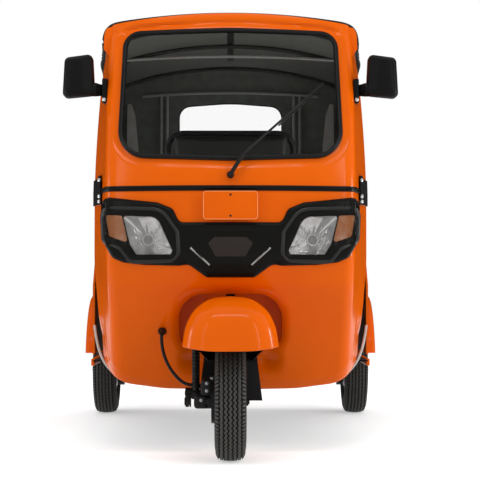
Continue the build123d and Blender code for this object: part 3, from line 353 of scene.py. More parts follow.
def repeatGroup():
    # Puts copies of a piece on the points of a mesh, turned and sized by its attributes.
    group, start, end = geometryGroup("repeatPiece", (("Piece", "NodeSocketObject", None),
        ("Size", "NodeSocketFloat", 1.0), ("Material", "NodeSocketMaterial", None)))
    add, join = group.nodes.new, group.links.new
    piece, points, onPoints = add("GeometryNodeObjectInfo"), add("GeometryNodeMeshToPoints"), add("GeometryNodeInstanceOnPoints")
    turn, toRotation = add("GeometryNodeInputNamedAttribute"), add("FunctionNodeEulerToRotation")
    size, scale = add("GeometryNodeInputNamedAttribute"), add("ShaderNodeMath")
    realize, material = add("GeometryNodeRealizeInstances"), add("GeometryNodeSetMaterial")
    turn.data_type, size.data_type, scale.operation = "FLOAT_VECTOR", "FLOAT", "MULTIPLY"
    turn.inputs["Name"].default_value, size.inputs["Name"].default_value = "turn", "size"
    join(start.outputs["Geometry"], points.inputs["Mesh"])
    join(start.outputs["Piece"], piece.inputs["Object"])
    join(points.outputs["Points"], onPoints.inputs["Points"])
    join(piece.outputs["Geometry"], onPoints.inputs["Instance"])
    join(turn.outputs["Attribute"], toRotation.inputs["Euler"])
    join(toRotation.outputs["Rotation"], onPoints.inputs["Rotation"])
    join(size.outputs["Attribute"], scale.inputs[0])
    join(start.outputs["Size"], scale.inputs[1])
    join(scale.outputs["Value"], onPoints.inputs["Scale"])
    join(onPoints.outputs["Instances"], realize.inputs["Geometry"])
    join(realize.outputs["Geometry"], material.inputs["Geometry"])
    join(start.outputs["Material"], material.inputs["Material"])
    join(material.outputs["Geometry"], end.inputs["Geometry"])
    return group


def coilGroup():
    # Wire coil of a given height, radius and turns, standing on its foot point.
    group, start, end = geometryGroup("coilSpring", (("Turns", "NodeSocketFloat", 8.0),
        ("Radius", "NodeSocketFloat", 0.02), ("Height", "NodeSocketFloat", 0.2),
        ("Wire", "NodeSocketFloat", 0.003), ("Foot", "NodeSocketVector", None),
        ("Lean", "NodeSocketVector", None), ("Material", "NodeSocketMaterial", None)))
    add, join = group.nodes.new, group.links.new
    spiral, profile, sweep = add("GeometryNodeCurveSpiral"), add("GeometryNodeCurvePrimitiveCircle"), add("GeometryNodeCurveToMesh")
    put, realize, material = add("GeometryNodeTransform"), add("GeometryNodeRealizeInstances"), add("GeometryNodeSetMaterial")
    spiral.inputs["Resolution"].default_value = 20
    profile.inputs["Resolution"].default_value = 8
    sweep.inputs["Fill Caps"].default_value = True
    for label in ("Start Radius", "End Radius"):
        join(start.outputs["Radius"], spiral.inputs[label])
    join(start.outputs["Turns"], spiral.inputs["Rotations"])
    join(start.outputs["Height"], spiral.inputs["Height"])
    join(start.outputs["Wire"], profile.inputs["Radius"])
    join(spiral.outputs["Curve"], sweep.inputs["Curve"])
    join(profile.outputs["Curve"], sweep.inputs["Profile Curve"])
    join(sweep.outputs["Mesh"], put.inputs["Geometry"])
    join(start.outputs["Foot"], put.inputs["Translation"])
    join(start.outputs["Lean"], put.inputs["Rotation"])
    join(put.outputs["Geometry"], realize.inputs["Geometry"])
    join(realize.outputs["Geometry"], material.inputs["Geometry"])
    join(start.outputs["Material"], material.inputs["Material"])
    join(material.outputs["Geometry"], end.inputs["Geometry"])
    return group


repeatPiece, coilSpring = repeatGroup(), coilGroup()


def runNodes(obj, group, values):
    modifier = obj.modifiers.new("nodes", "NODES")
    modifier.node_group = group
    for item in group.interface.items_tree:
        if item.item_type == "SOCKET" and item.in_out == "INPUT" and item.name in values:
            modifier[item.identifier] = values[item.name]
    obj.update_tag()
    bpy.context.view_layer.update()
    return applyModifiers(obj)


def repeated(name, piece, places, material, size=1.0, merge=0, angle=35):
    # places: (place in mm, way the piece's +Z faces, spin in degrees, own size). The piece is used up.
    mesh = bpy.data.meshes.new(name)
    mesh.from_pydata(placeAll([p[0] for p in places]), [], [])
    turns, sizes = [], []
    for _, way, *rest in places:
        quat = Vector(way).to_track_quat("Z", "Y")
        if rest and rest[0]:
            quat = quat @ Quaternion((0, 0, 1), radians(rest[0]))
        turns += list(quat.to_euler())
        sizes.append(rest[1] if len(rest) > 1 else 1.0)
    mesh.attributes.new("turn", "FLOAT_VECTOR", "POINT").data.foreach_set("vector", turns)
    mesh.attributes.new("size", "FLOAT", "POINT").data.foreach_set("value", sizes)
    obj = link(bpy.data.objects.new(name, mesh))
    runNodes(obj, repeatPiece, {"Piece": piece, "Size": size, "Material": material})
    bpy.data.objects.remove(piece)
    if merge:
        recalculateNormals(obj, merge)
    smoothShade(obj, angle)
    return obj


def coil(name, foot, head, radius, wire, turns, material):
    foot, head = Vector(place(*foot)), Vector(place(*head))
    lean = (head - foot).to_track_quat("Z", "Y").to_euler()
    obj = link(bpy.data.objects.new(name, bpy.data.meshes.new(name)))
    runNodes(obj, coilSpring, {"Turns": float(turns), "Radius": radius / 1000, "Height": (head - foot).length,
        "Wire": wire / 1000, "Foot": list(foot), "Lean": list(lean), "Material": material})
    smoothShade(obj, 50)
    return obj


def centredPiece(name, rings, angle=35):
    # Small piece about its own foot point, from (radius, height) rings in mm, with sides corners.
    sides, profile = rings
    vertices, faces = [], []
    for radius, height in profile:
        vertices += [(radius / 1000 * cos(2 * pi * k / sides), radius / 1000 * sin(2 * pi * k / sides),
            height / 1000) for k in range(sides)]
    for i in range(len(profile) - 1):
        faces += [(i * sides + k, i * sides + (k + 1) % sides, (i + 1) * sides + (k + 1) % sides,
            (i + 1) * sides + k) for k in range(sides)]
    faces += [tuple(range(sides))[::-1], tuple(range((len(profile) - 1) * sides, len(profile) * sides))]
    return meshObject(name, vertices, faces, angle)


def hexBolt(radius=6.5, height=4.5):
    # Hexagon head on a washer.
    head = centredPiece("hexHead", (6, [(radius, 0.8), (radius, height - 0.8), (radius - 0.9, height)]), 20)
    washer = centredPiece("washer", (24, [(radius * 1.35, -0.6), (radius * 1.35, 1.2), (radius * 1.2, 1.6)]))
    return joined("hexBolt", [head, washer], 30)


def domeScrew(radius=4.5):
    rings = [(radius, -0.5), (radius, 0.4), (radius * 0.92, 1.1), (radius * 0.7, 1.7), (radius * 0.35, 2.1),
        (0.05, 2.2)]
    return centredPiece("domeScrew", (16, rings))


def newMaterial(name, color, roughness, metallic=0.0, coat=0.0, coatRoughness=0.03, specular=0.16):
    material = bpy.data.materials.new(name)
    material.use_nodes = True
    shader = material.node_tree.nodes["Principled BSDF"]
    shader.inputs["Base Color"].default_value = (*color, 1)
    shader.inputs["Roughness"].default_value = roughness
    shader.inputs["Metallic"].default_value = metallic
    shader.inputs["Coat Weight"].default_value = coat
    shader.inputs["Coat Roughness"].default_value = coatRoughness
    shader.inputs["Specular IOR Level"].default_value = specular
    return material


def addGrain(material, scale, bumpStrength, bumpDistance, colorLow=None, colorHigh=None, roughLow=None,
        roughHigh=None, detail=4, stretch=(1, 1, 1)):
    tree = material.node_tree
    shader = tree.nodes["Principled BSDF"]
    coords = tree.nodes.new("ShaderNodeTexCoord")
    mapping = tree.nodes.new("ShaderNodeMapping")
    mapping.inputs["Scale"].default_value = stretch
    noise = tree.nodes.new("ShaderNodeTexNoise")
    noise.inputs["Scale"].default_value = scale
    noise.inputs["Detail"].default_value = detail
    tree.links.new(coords.outputs["Object"], mapping.inputs["Vector"])
    tree.links.new(mapping.outputs["Vector"], noise.inputs["Vector"])
    if bumpStrength:
        bump = tree.nodes.new("ShaderNodeBump")
        bump.inputs["Strength"].default_value = bumpStrength
        bump.inputs["Distance"].default_value = bumpDistance
        tree.links.new(noise.outputs["Fac"], bump.inputs["Height"])
        tree.links.new(bump.outputs["Normal"], shader.inputs["Normal"])
    if colorLow:
        ramp = tree.nodes.new("ShaderNodeValToRGB")
        ramp.color_ramp.elements[0].position = 0.3
        ramp.color_ramp.elements[1].position = 0.7
        ramp.color_ramp.elements[0].color = (*colorLow, 1)
        ramp.color_ramp.elements[1].color = (*colorHigh, 1)
        tree.links.new(noise.outputs["Fac"], ramp.inputs["Fac"])
        tree.links.new(ramp.outputs["Color"], shader.inputs["Base Color"])
    if roughLow is not None:
        spread = tree.nodes.new("ShaderNodeMapRange")
        spread.inputs["To Min"].default_value = roughLow
        spread.inputs["To Max"].default_value = roughHigh
        tree.links.new(noise.outputs["Fac"], spread.inputs["Value"])
        tree.links.new(spread.outputs["Result"], shader.inputs["Roughness"])
    return material


def glassMaterial(name, color, alpha, roughness=0.02):
    # Thin pane: mostly clear, with the sheen of its face.
    material = newMaterial(name, color, roughness)
    shader = material.node_tree.nodes["Principled BSDF"]
    shader.inputs["Alpha"].default_value = alpha
    shader.inputs["IOR"].default_value = 1.45
    return material


paint = addGrain(newMaterial("orangeEnamel", (0.78, 0.118, 0.0), 0.14, specular=0.09), 5, 0, 0,
    (0.76, 0.112, 0.0), (0.80, 0.122, 0.0), 0.12, 0.17, detail=2)
blackPlastic = addGrain(newMaterial("satinBlackPlastic", (0.006, 0.006, 0.006), 0.34, specular=0.06), 900, 0.12,
    0.0003, (0.004, 0.004, 0.004), (0.008, 0.008, 0.008), 0.3, 0.42)
glossBlack = addGrain(newMaterial("glossBlackPlastic", (0.004, 0.004, 0.0035), 0.24, specular=0.06), 300, 0.03,
    0.0002, (0.004, 0.004, 0.0035), (0.007, 0.007, 0.006), 0.2, 0.28)
badgeBlack = addGrain(newMaterial("panelBlackPlastic", (0.026, 0.021, 0.019), 0.5, specular=0.1), 300, 0.05,
    0.0002, (0.023, 0.018, 0.016), (0.030, 0.024, 0.022), 0.45, 0.55)
# Lighter orange used on the plate lips: a painted highlight along their rolled edges.
paintedHighlightOrange = addGrain(newMaterial("orangeEnamelEdge", (0.86, 0.30, 0.10), 0.2), 5, 0, 0, (0.84, 0.28, 0.09),
    (0.88, 0.32, 0.11), 0.16, 0.24, detail=2)
sheenBlack = addGrain(newMaterial("sheenBlackPlastic", (0.006, 0.006, 0.0055), 0.3, specular=0.26), 300, 0.03,
    0.0002, (0.005, 0.005, 0.0045), (0.008, 0.008, 0.0075), 0.3, 0.4)
blackMetal = addGrain(newMaterial("satinBlackMetal", (0.01, 0.01, 0.01), 0.32, specular=0.12), 300, 0.1, 0.0004,
    (0.007, 0.007, 0.007), (0.015, 0.015, 0.015), 0.26, 0.42)
rubber = addGrain(newMaterial("extrudedRubber", (0.007, 0.007, 0.007), 0.34, specular=0.1), 400, 0.1, 0.0003,
    (0.005, 0.005, 0.005), (0.01, 0.01, 0.01), 0.28, 0.42)
tyreRubber = addGrain(newMaterial("tyreRubber", (0.012, 0.012, 0.011), 0.6, specular=0.08), 500, 0.25, 0.0005,
    (0.008, 0.008, 0.008), (0.018, 0.018, 0.017), 0.52, 0.72)
# Tread rubber lighter than the carcass: partly wear, partly a painted sheen on the rib tops.
treadRubber = addGrain(newMaterial("wornTreadRubber", (0.05, 0.049, 0.045), 0.5, specular=0.2), 500, 0.25,
    0.0005, (0.036, 0.035, 0.032), (0.075, 0.073, 0.067), 0.4, 0.6)
wheelPaint = addGrain(newMaterial("silverEnamel", (0.5, 0.51, 0.52), 0.3, metallic=0.6), 60, 0.05, 0.0005,
    (0.44, 0.45, 0.46), (0.54, 0.55, 0.56), 0.26, 0.4)
brightSteel = addGrain(newMaterial("platedSteel", (0.5, 0.5, 0.5), 0.22, metallic=1), 120, 0.06, 0.0003,
    (0.42, 0.42, 0.42), (0.56, 0.56, 0.55), 0.16, 0.34)
castMetal = addGrain(newMaterial("castAluminium", (0.3, 0.3, 0.31), 0.5, metallic=0.9), 260, 0.4, 0.0008,
    (0.24, 0.24, 0.25), (0.37, 0.37, 0.38), 0.42, 0.62)
innerPaint = addGrain(newMaterial("darkGreyPaint", (0.04, 0.042, 0.04), 0.5), 80, 0.1, 0.0006,
    (0.034, 0.036, 0.034), (0.05, 0.052, 0.05), 0.42, 0.6)
# Light grey that stands in for light: a painted highlight on the fascia slats' edges and on the dark hood tubes.
highlightGreyPaint = addGrain(newMaterial("greyTubePaint", (0.34, 0.345, 0.33), 0.3, specular=0.5), 60, 0.05, 0.0004,
    (0.30, 0.305, 0.29), (0.38, 0.385, 0.37), 0.24, 0.38)
linerBoard = addGrain(newMaterial("canopyLining", (0.14, 0.15, 0.135), 0.6), 24, 0.03, 0.0004,
    (0.12, 0.13, 0.115), (0.16, 0.172, 0.155), 0.5, 0.7, detail=3)
# Pale grey for the rear corner boards, and as a painted highlight on the beads round the cowl's foot.
paleBoard = addGrain(newMaterial("paleBoard", (0.5, 0.505, 0.48), 0.6), 16, 0.03, 0.0004, (0.42, 0.425, 0.4),
    (0.58, 0.585, 0.56), 0.5, 0.7, detail=3)
vinyl = addGrain(newMaterial("grainedVinyl", (0.014, 0.015, 0.013), 0.42), 420, 0.12, 0.0003,
    (0.011, 0.012, 0.010), (0.02, 0.021, 0.019), 0.36, 0.52, detail=6)
canvas = addGrain(newMaterial("coatedCanvas", (0.02, 0.021, 0.02), 0.55), 380, 0.05, 0.0002,
    (0.017, 0.018, 0.016), (0.026, 0.027, 0.025), 0.48, 0.64)
chromeReflector = addGrain(newMaterial("brightReflector", (0.36, 0.355, 0.35), 0.16, metallic=1), 40, 0.02,
    0.0005, (0.26, 0.255, 0.25), (0.46, 0.455, 0.45), 0.1, 0.24)
bulbMetal = addGrain(newMaterial("bulbShield", (0.09, 0.088, 0.085), 0.3, metallic=0.7), 60, 0.02, 0.0004,
    (0.07, 0.068, 0.065), (0.12, 0.118, 0.114), 0.24, 0.38)
mirrorGlass = addGrain(newMaterial("silveredGlass", (0.85, 0.87, 0.88), 0.03, metallic=1), 12, 0, 0,
    (0.83, 0.85, 0.86), (0.87, 0.89, 0.9), 0.02, 0.05)
clearGlass = glassMaterial("screenGlass", (0.03, 0.04, 0.036), 0.025)
lampGlass = glassMaterial("lampLens", (0.62, 0.62, 0.61), 0.1, 0.05)
amberGlass = glassMaterial("amberLens", (0.42, 0.15, 0.05), 0.42, 0.12)
redGlass = glassMaterial("redLens", (0.42, 0.006, 0.006), 0.88, 0.12)
windowFilm = glassMaterial("clearFilm", (0.9, 0.91, 0.9), 0.01, 0.06)
slotMaterials = {"body_paint": paint, "black_plastic": blackPlastic, "black_metal": blackMetal,
    "rubber_trim": rubber, "tyre_rubber": tyreRubber, "wheel_paint": wheelPaint, "clear_glass": clearGlass,
    "lamp_lens": lampGlass, "amber_lens": amberGlass, "red_lens": redGlass, "reflector": chromeReflector,
    "mirror_glass": mirrorGlass, "seat_vinyl": vinyl, "canvas": canvas, "window_film": windowFilm,
    "cast_metal": castMetal, "bright_steel": brightSteel, "inner_paint": innerPaint,}
nodeFinish = {"front_link": blackMetal, "hood_frame": innerPaint}
for row in frame["record"]["subparts"]:
    node = nodes[row["node"]]
    node.data.materials.clear()
    node.data.materials.append(nodeFinish.get(row["node"], slotMaterials[row["material_slot"]]))
print("stage: materials made")

studio = {"focal": 112.65, "sensor": 36.0, "cameraAhead": 5365, "cameraHeight": 635, "pitch": 1.602,
    "yaw": 0.362, "floorShade": 0.93, "floorLift": 0.43, "skyStrength": 0.62}
cameraData = bpy.data.cameras.new("camera")
cameraData.lens = studio["focal"]
cameraData.sensor_width = studio["sensor"]
camera = link(bpy.data.objects.new("camera", cameraData))
camera.location = place(0, -studio["cameraAhead"], studio["cameraHeight"])
camera.rotation_euler = (radians(90 + studio["pitch"]), 0, radians(-studio["yaw"]))
bpy.context.scene.camera = camera
bpy.context.scene.view_settings.view_transform = "Standard"


def raySum(tree, names):
    rays = tree.nodes.new("ShaderNodeLightPath")
    total = rays.outputs[names[0]]
    for name in names[1:]:
        add = tree.nodes.new("ShaderNodeMath")
        add.operation = "MAXIMUM"
        tree.links.new(total, add.inputs[0])
        tree.links.new(rays.outputs[name], add.inputs[1])
        total = add.outputs[0]
    return total


world = bpy.data.worlds.new("world")
bpy.context.scene.world = world
world.use_nodes = True
worldTree = world.node_tree
background = worldTree.nodes["Background"]
background.inputs["Color"].default_value = (1, 1, 1, 1)
background.inputs["Strength"].default_value = studio["skyStrength"]
white = worldTree.nodes.new("ShaderNodeBackground")
white.inputs["Color"].default_value = (1, 1, 1, 1)
white.inputs["Strength"].default_value = 1.0
worldMix = worldTree.nodes.new("ShaderNodeMixShader")
worldTree.links.new(raySum(worldTree, ["Is Camera Ray", "Is Glossy Ray", "Is Transmission Ray"]),
    worldMix.inputs["Fac"])
worldTree.links.new(background.outputs[0], worldMix.inputs[1])
worldTree.links.new(white.outputs[0], worldMix.inputs[2])
worldTree.links.new(worldMix.outputs[0], worldTree.nodes["World Output"].inputs["Surface"])


def areaLight(name, location, target, size, power):
    data = bpy.data.lights.new(name, "AREA")
    data.shape = "RECTANGLE"
    data.size, data.size_y = size
    data.energy = power
    light = link(bpy.data.objects.new(name, data))
    light.location = location
    light.rotation_euler = (Vector(target) - Vector(location)).to_track_quat("-Z", "Y").to_euler()
    return light


# The lamps: where each stands, what it faces, its width and height in metres, its power.
lampRows = {"keyLeft": ((-2.2, -3.5, 2.1), (0, -0.8, 1.0), (0.22, 2.5), 12),
    "keyRight": ((2.3, -3.4, 2.1), (0, -0.8, 1.0), (0.26, 2.5), 22),
    "stripLeft": ((-2.5, -0.7, 0.9), (0, -1.1, 0.5), (0.18, 1.0), 10),
    "stripRight": ((2.5, -0.7, 0.9), (0, -1.1, 0.5), (0.18, 1.0), 17),
    "top": ((0, -2.4, 3.9), (0, -0.9, 1.0), (2.2, 0.24), 29),
    "behind": ((0, 4.0, 3.2), (0, 0.8, 1.0), (3.0, 1.6), 45),}
for name, row in lampRows.items():
    areaLight(name, *row)

floorMesh = bpy.data.meshes.new("floor")
floorMesh.from_pydata([(-60, -30, 0), (60, -30, 0), (60, 90, 0), (-60, 90, 0)], [], [(0, 1, 2, 3)])
floor = link(bpy.data.objects.new("floor", floorMesh))
floorMaterial = newMaterial("floorPaper", (studio["floorShade"],) * 3, 0.9, specular=0.0)
floorTree = floorMaterial.node_tree
glow = floorTree.nodes.new("ShaderNodeEmission")
glow.inputs["Strength"].default_value = studio["floorLift"]
lit = floorTree.nodes.new("ShaderNodeAddShader")
floorMix = floorTree.nodes.new("ShaderNodeMixShader")
floorTree.links.new(floorTree.nodes["Principled BSDF"].outputs[0], lit.inputs[0])
floorTree.links.new(glow.outputs[0], lit.inputs[1])
floorTree.links.new(raySum(floorTree, ["Is Camera Ray", "Is Glossy Ray", "Is Transmission Ray"]),
    floorMix.inputs["Fac"])
floorTree.links.new(floorTree.nodes["Principled BSDF"].outputs[0], floorMix.inputs[1])
floorTree.links.new(lit.outputs[0], floorMix.inputs[2])
floorTree.links.new(floorMix.outputs[0], floorTree.nodes["Material Output"].inputs["Surface"])
floorMesh.materials.append(floorMaterial)

# A dark screen behind, seen only in gloss, keeps the colour in the faces that turn away.
screenMesh = bpy.data.meshes.new("darkScreen")
screenMesh.from_pydata([(-9, 3.4, 0.02), (9, 3.4, 0.02), (9, 3.4, 6), (-9, 3.4, 6)], [], [(0, 1, 2, 3)])
darkScreen = link(bpy.data.objects.new("darkScreen", screenMesh))
screenMesh.materials.append(newMaterial("darkFelt", (0.02, 0.018, 0.016), 0.95, specular=0.0))
for rayKind in ("camera", "diffuse", "shadow", "transmission", "volume_scatter"):
    setattr(darkScreen, "visible_" + rayKind, False)
print("stage: studio ready")

skinSettings = {
    "cowlRear": 400, "cornerRadius": 58,
    # height, setback at the middle and at the corner, half width of the face, of the sides
    "rows": (
        (189, 318, 332, 425, 492), (349, 222, 248, 433, 502), (469, 150, 185, 437, 510), (560, 88, 126, 439,
                                                            516),
        (642, 22, 72, 441, 520), (762, -14, 48, 445, 522), (971, -8, 58, 447, 522), (1044, 2, 68, 448, 520),
        (1330, 109, 170, 451, 502), (1680, 240, 296, 450, 453),
    ),
}


def sectionHalf(height, grow, faceSteps, cornerSteps, sideSteps):
    # Right half of a level section: arc of the face, rounded corner, side wall.
    middle, corner, halfFace, halfSide = monotoneRun(skinSettings["rows"], np.array([height]))[0]
    middle, corner, halfFace, halfSide = middle - grow, corner - grow, halfFace + grow, halfSide + grow
    rise = corner - middle
    arcRadius = (halfFace**2 + rise**2) / (2 * rise)
    centre = np.array([0, middle + arcRadius])
    face, knee = np.array([halfFace, corner]), np.array([halfSide, skinSettings["cowlRear"]])
    along = (knee - face) / np.linalg.norm(knee - face)
    inward = np.array([-along[1], along[0]])
    radius = skinSettings["cornerRadius"] + grow
    start = face + inward * radius - centre
    b = start @ along
    reach = -b - sqrt(max(b * b - start @ start + (arcRadius - radius) ** 2, 0))
    pivot = centre + start + along * reach
    touchArc = centre + (pivot - centre) / np.linalg.norm(pivot - centre) * arcRadius
    touchSide = pivot - inward * radius
    a1 = atan2(touchArc[0], centre[1] - touchArc[1])
    points = [(arcRadius * sin(a), centre[1] - arcRadius * cos(a)) for a in np.linspace(0, a1, faceSteps)]
    c0, c1 = atan2(*(touchArc - pivot)[::-1]), atan2(*(touchSide - pivot)[::-1])
    points += [tuple(pivot + radius * np.array([cos(a), sin(a)])) for a in np.linspace(c0, c1, cornerSteps)[1:]]
    points += [tuple(touchSide + (knee - touchSide) * t) for t in np.linspace(0, 1, sideSteps)[1:]]
    return np.array(points)


def skinDistance(x, z, grow=0.0):
    # Distance behind the front axle of the skin at front-view places.
    x, z = np.broadcast_arrays(np.asarray(x, float), np.asarray(z, float))
    out = np.empty(x.shape)
    levels, back = np.unique(np.round(z, 1), return_inverse=True)
    back = back.reshape(x.shape)
    for number, level in enumerate(levels):
        mask = back == number
        section = sectionHalf(level, grow, 60, 24, 20)
        out[mask] = np.interp(np.abs(x[mask]), section[:, 0], section[:, 1])
    return out


def skinShell(name, low, high, step, wall, shape):
    # Dense shell of the skin between two heights; shape(x, z) says how far it is pressed in.
    heights = np.linspace(low, high, int((high - low) / step) + 1)
    layers = []
    for grow in (0.0, -wall):
        layer = []
        for height in heights:
            half = sectionHalf(height, grow, 76, 15, 20)
            whole = np.vstack([half[::-1] * [-1, 1], half[1:]])
            layer.append(np.column_stack([whole, np.full(len(whole), height)]))
        layers.append(np.array(layer))
    outer, inner = layers
    press = shape(outer[..., 0], outer[..., 2])
    side = np.clip((np.abs(outer[..., 0]) - 420) / 90, 0, 1)
    for layer in layers:
        layer[..., 1] += press * (1 - 0.7 * side)
        layer[..., 0] -= np.sign(layer[..., 0]) * press * side * 0.7
    return shellMesh(name, outer[..., [0, 1, 2]], inner[..., [0, 1, 2]])


def skinFrame(x, z, grow=0.0):
    # Place on the skin in mm and its outward normal, at a front-view place.
    d = 2.0
    middle, right, left, up, down = skinDistance([x, x + d, x - d, x, x], [z, z, z, z + d, z - d], grow)
    normal = np.array([(right - left) / (2 * d), -1.0, (up - down) / (2 * d)])
    return (x, middle, z), normal / np.linalg.norm(normal)


def sweepLine(name, line, profile, closed=True, angle=40):
    # Profile (aside, out along the normal) in mm, carried along points that have normals.
    count = len(line)
    rings = []
    for number in range(count):
        before = np.array(line[(number - 1) % count if closed else max(number - 1, 0)][0])
        after = np.array(line[(number + 1) % count if closed else min(number + 1, count - 1)][0])
        point, normal = np.array(line[number][0], float), np.array(line[number][1], float)
        tangent = (after - before) / np.linalg.norm(after - before)
        normal = normal - tangent * (normal @ tangent)
        normal /= np.linalg.norm(normal)
        side = np.cross(tangent, normal)
        rings.append([point + side * a + normal * b for a, b in profile])
    return ringMesh(name, rings, closed, angle)


def skinLine(outline):
    return [skinFrame(x, z) for x, z in outline]


windscreen = {"sealInset": 7.5, "glassInset": 13, "corners": ((-411, 1086), (0, 1071), (411, 1086), (399, 1571),
    (0, 1580), (-399, 1571)), "roundings": (104, 900, 104, 66, 1500, 66)}


def offsetCorners(corners, amount):
    # Corners of the polygon moved out by an amount, edge by edge.
    moved, count = [], len(corners)
    for number in range(count):
        before, here, after = (np.array(corners[(number + k) % count], float) for k in (-1, 0, 1))
        edges = [here - before, after - here]
        normals = [np.array([edge[1], -edge[0]]) / np.linalg.norm(edge) for edge in edges]
        matrix = np.array(normals)
        moved.append(tuple(np.linalg.solve(matrix, [normals[0] @ here + amount, normals[1] @ here + amount])))
    return moved


def screenLine(amount):
    return roundedOutline(offsetCorners(windscreen["corners"], amount),
        [max(r + amount, 10) for r in windscreen["roundings"]], 12)


screenOutline = screenLine(0)


fasciaOutline = mirroredOutline([(-183, 848), (-206, 897), (-262, 920), (-345, 929), (-440, 940), (-481, 930),
    (-474, 800), (-426, 722), (-385, 705), (-310, 696), (-185, 693), (-150, 698), (-85, 651)])
lampOutline = [(-386, 873), (-262, 868), (-207, 748), (-214, 733), (-338, 733), (-362, 772)]
indicatorOutline = [(-450, 877), (-390, 873.5), (-367, 774), (-437, 799)]

cowl = {"wall": 8, "top": 961, "archHalf": 190, "archTop": 592, "archRear": 287, "archRounding": 105,
    "rimRoll": 38, "archFoot": 396, "lipReach": 24, "lipDepth": 20, "flangeWidth": 22, "flangeDepth": 7}
cowlOutline = [(-478, 264), (-250, 234), (0, 229), (250, 234), (478, 264), (520, 700), (562, 1011),
    (-562, 1011), (-520, 700)]
cowlEdge = roundedOutline(cowlOutline, [150, 400, 900, 400, 150, 0, 0, 0, 0], steps=20)
archEdge = roundedOutline([(-cowl["archHalf"], cowl["archFoot"]), (cowl["archHalf"], cowl["archFoot"]),
    (cowl["archHalf"], cowl["archTop"]), (-cowl["archHalf"], cowl["archTop"])],
    [46, 46, cowl["archRounding"], cowl["archRounding"]], steps=20)
flapBowl = {"depth": 50, "height": 345, "spread": 46, "half": 120, "edge": 210}


def flapRoom(x, z):
    # Shallow bowl behind the mud flap, deep enough for its corners at full lock.
    rise = (np.asarray(z, float) - flapBowl["height"]) / flapBowl["spread"]
    return flapBowl["depth"] * np.exp(-rise ** 2) * (1 - smoothStep(flapBowl["half"], flapBowl["edge"], np.abs(x)))


def cowlPress(x, z):
    toArch = -outlineDistance(archEdge, x, z)
    share = np.clip(1 - np.maximum(toArch, 0) / cowl["rimRoll"], 0, 1)
    roll = cowl["rimRoll"] * (1 - np.sqrt(1 - (0.96 * share) ** 2))
    toEdge = outlineDistance(cowlEdge, x, z)
    flange = cowl["flangeDepth"] * (1 - smoothStep(cowl["flangeWidth"], cowl["flangeWidth"] + 7, toEdge))
    turn = np.clip(1 - np.maximum(toEdge, 0) / cowl["lipReach"], 0, 1)
    lip = cowl["lipDepth"] * (1 - np.sqrt(1 - (0.97 * turn) ** 2))
    return roll + flapRoom(x, z) + (flange + lip) * (1 - smoothStep(430, 520, z))


cowlShell = skinShell("cowlShell", 200, cowl["top"], 7, cowl["wall"], cowlPress)
cut(cowlShell, prismTool(cowlEdge, -700, 402), "INTERSECT")
cut(cowlShell, prismTool(archEdge, -700, 300))
for outline in (lampOutline, indicatorOutline):
    cut(cowlShell, prismTool(roundedOutline(outline, 9), -300, 300))
    cut(cowlShell, prismTool(roundedOutline(otherSide(outline), 9), -300, 300))
finishPiece(cowlShell, "body", paint, ["front_cowl"])
print("stage: cowl", len(cowlShell.data.polygons), "faces")

# The wheel pocket: arched walls from the skin back to a plate, open where the column passes.
pocketGrid = []
for depth in np.linspace(0, 1, 12):
    row = []
    for x, z in archEdge:
        front = float(skinDistance([x], [z])[0]) + cowl["rimRoll"] * 0.62 + float(flapRoom(x, z))
        row.append((x, front + (cowl["archRear"] + 8 - front) * depth, z))
    pocketGrid.append(row)
pocketGrid = np.array(pocketGrid)
middleHeight = (cowl["archFoot"] + cowl["archTop"]) / 2
outward = pocketGrid.copy()
outward[..., 0] *= 1 + 8 / cowl["archHalf"]
outward[..., 2] = middleHeight + (outward[...,
    2] - middleHeight) * (1 + 16 / (cowl["archTop"] - cowl["archFoot"]))
pocketWalls = shellMesh("wheelPocketWalls", outward, pocketGrid, True)
recalculateNormals(pocketWalls)
backOutline = roundedOutline([(-198, 388), (198, 388), (198, 600), (-198, 600)], [50, 50, 113, 113], steps=16)
pocketBack = prismTool(backOutline, cowl["archRear"], cowl["archRear"] + 8)
pocketBack.name = "wheelPocketBack"
cut(pocketWalls, boxTool((-31, 31), (70, 190), (540, 640)))
pocket = joined("wheelPocket", [pocketWalls, pocketBack])
finishPiece(pocket, "body", paint)

frameSettings = {"low": 981, "high": 1646, "wall": 8, "stepWidth": 34, "stepDepth": 7, "headerHeight": 1640,
    "headerSag": 48, "creaseDrop": 34, "creaseDepth": 6}


def headerLine(x):
    return frameSettings["headerHeight"] - frameSettings["headerSag"] * (np.asarray(x, float) / 507) ** 2


def framePress(x, z):
    toGlass = -outlineDistance(screenOutline, x, z)
    step = frameSettings["stepDepth"] * (1 - smoothStep(18, frameSettings["stepWidth"], toGlass))
    below = headerLine(x) - z
    crease = frameSettings["creaseDepth"] * np.exp(-((below - frameSettings["creaseDrop"]) / 9) ** 2)
    return step + crease * (1 - smoothStep(430, 480, np.abs(x)))


frameShell = skinShell("windscreenSurround", frameSettings["low"], frameSettings["high"], 7,
    frameSettings["wall"], framePress)
headerOutline = [(x, float(headerLine(x))) for x in np.linspace(507, -507, 41)]
headerOutline = [(-700, 900), (700, 900), (700, 1592)] + headerOutline + [(-700, 1592)]
cut(frameShell, prismTool(headerOutline, -700, 401), "INTERSECT")
cut(frameShell, prismTool(screenOutline, -700, 395))
finishPiece(frameShell, "body", paint, ["windscreen_frame"])

# Box rail behind the header and along its foot, as the pressing turns in.
railTop = [(x, float(skinDistance([x], [1600])[0]) + 40, float(headerLine(x)) - 22) for x in np.linspace(-440,
    440, 25)]
headerRail = pipe("headerRail", railTop, 13)
finishPiece(headerRail, "body", paint)

seal = sweepLine("screenSeal", skinLine(dense(screenLine(-windscreen["sealInset"]))),
    [(-8, -8), (-8.2, 1), (-6.6, 5), (-3, 7), (1, 6.6), (3.2, 4), (5, 3.4), (6.6, 4.2), (8, 3), (8, -8)])
finishPiece(seal, "body", rubber, ["windscreen_seal"])

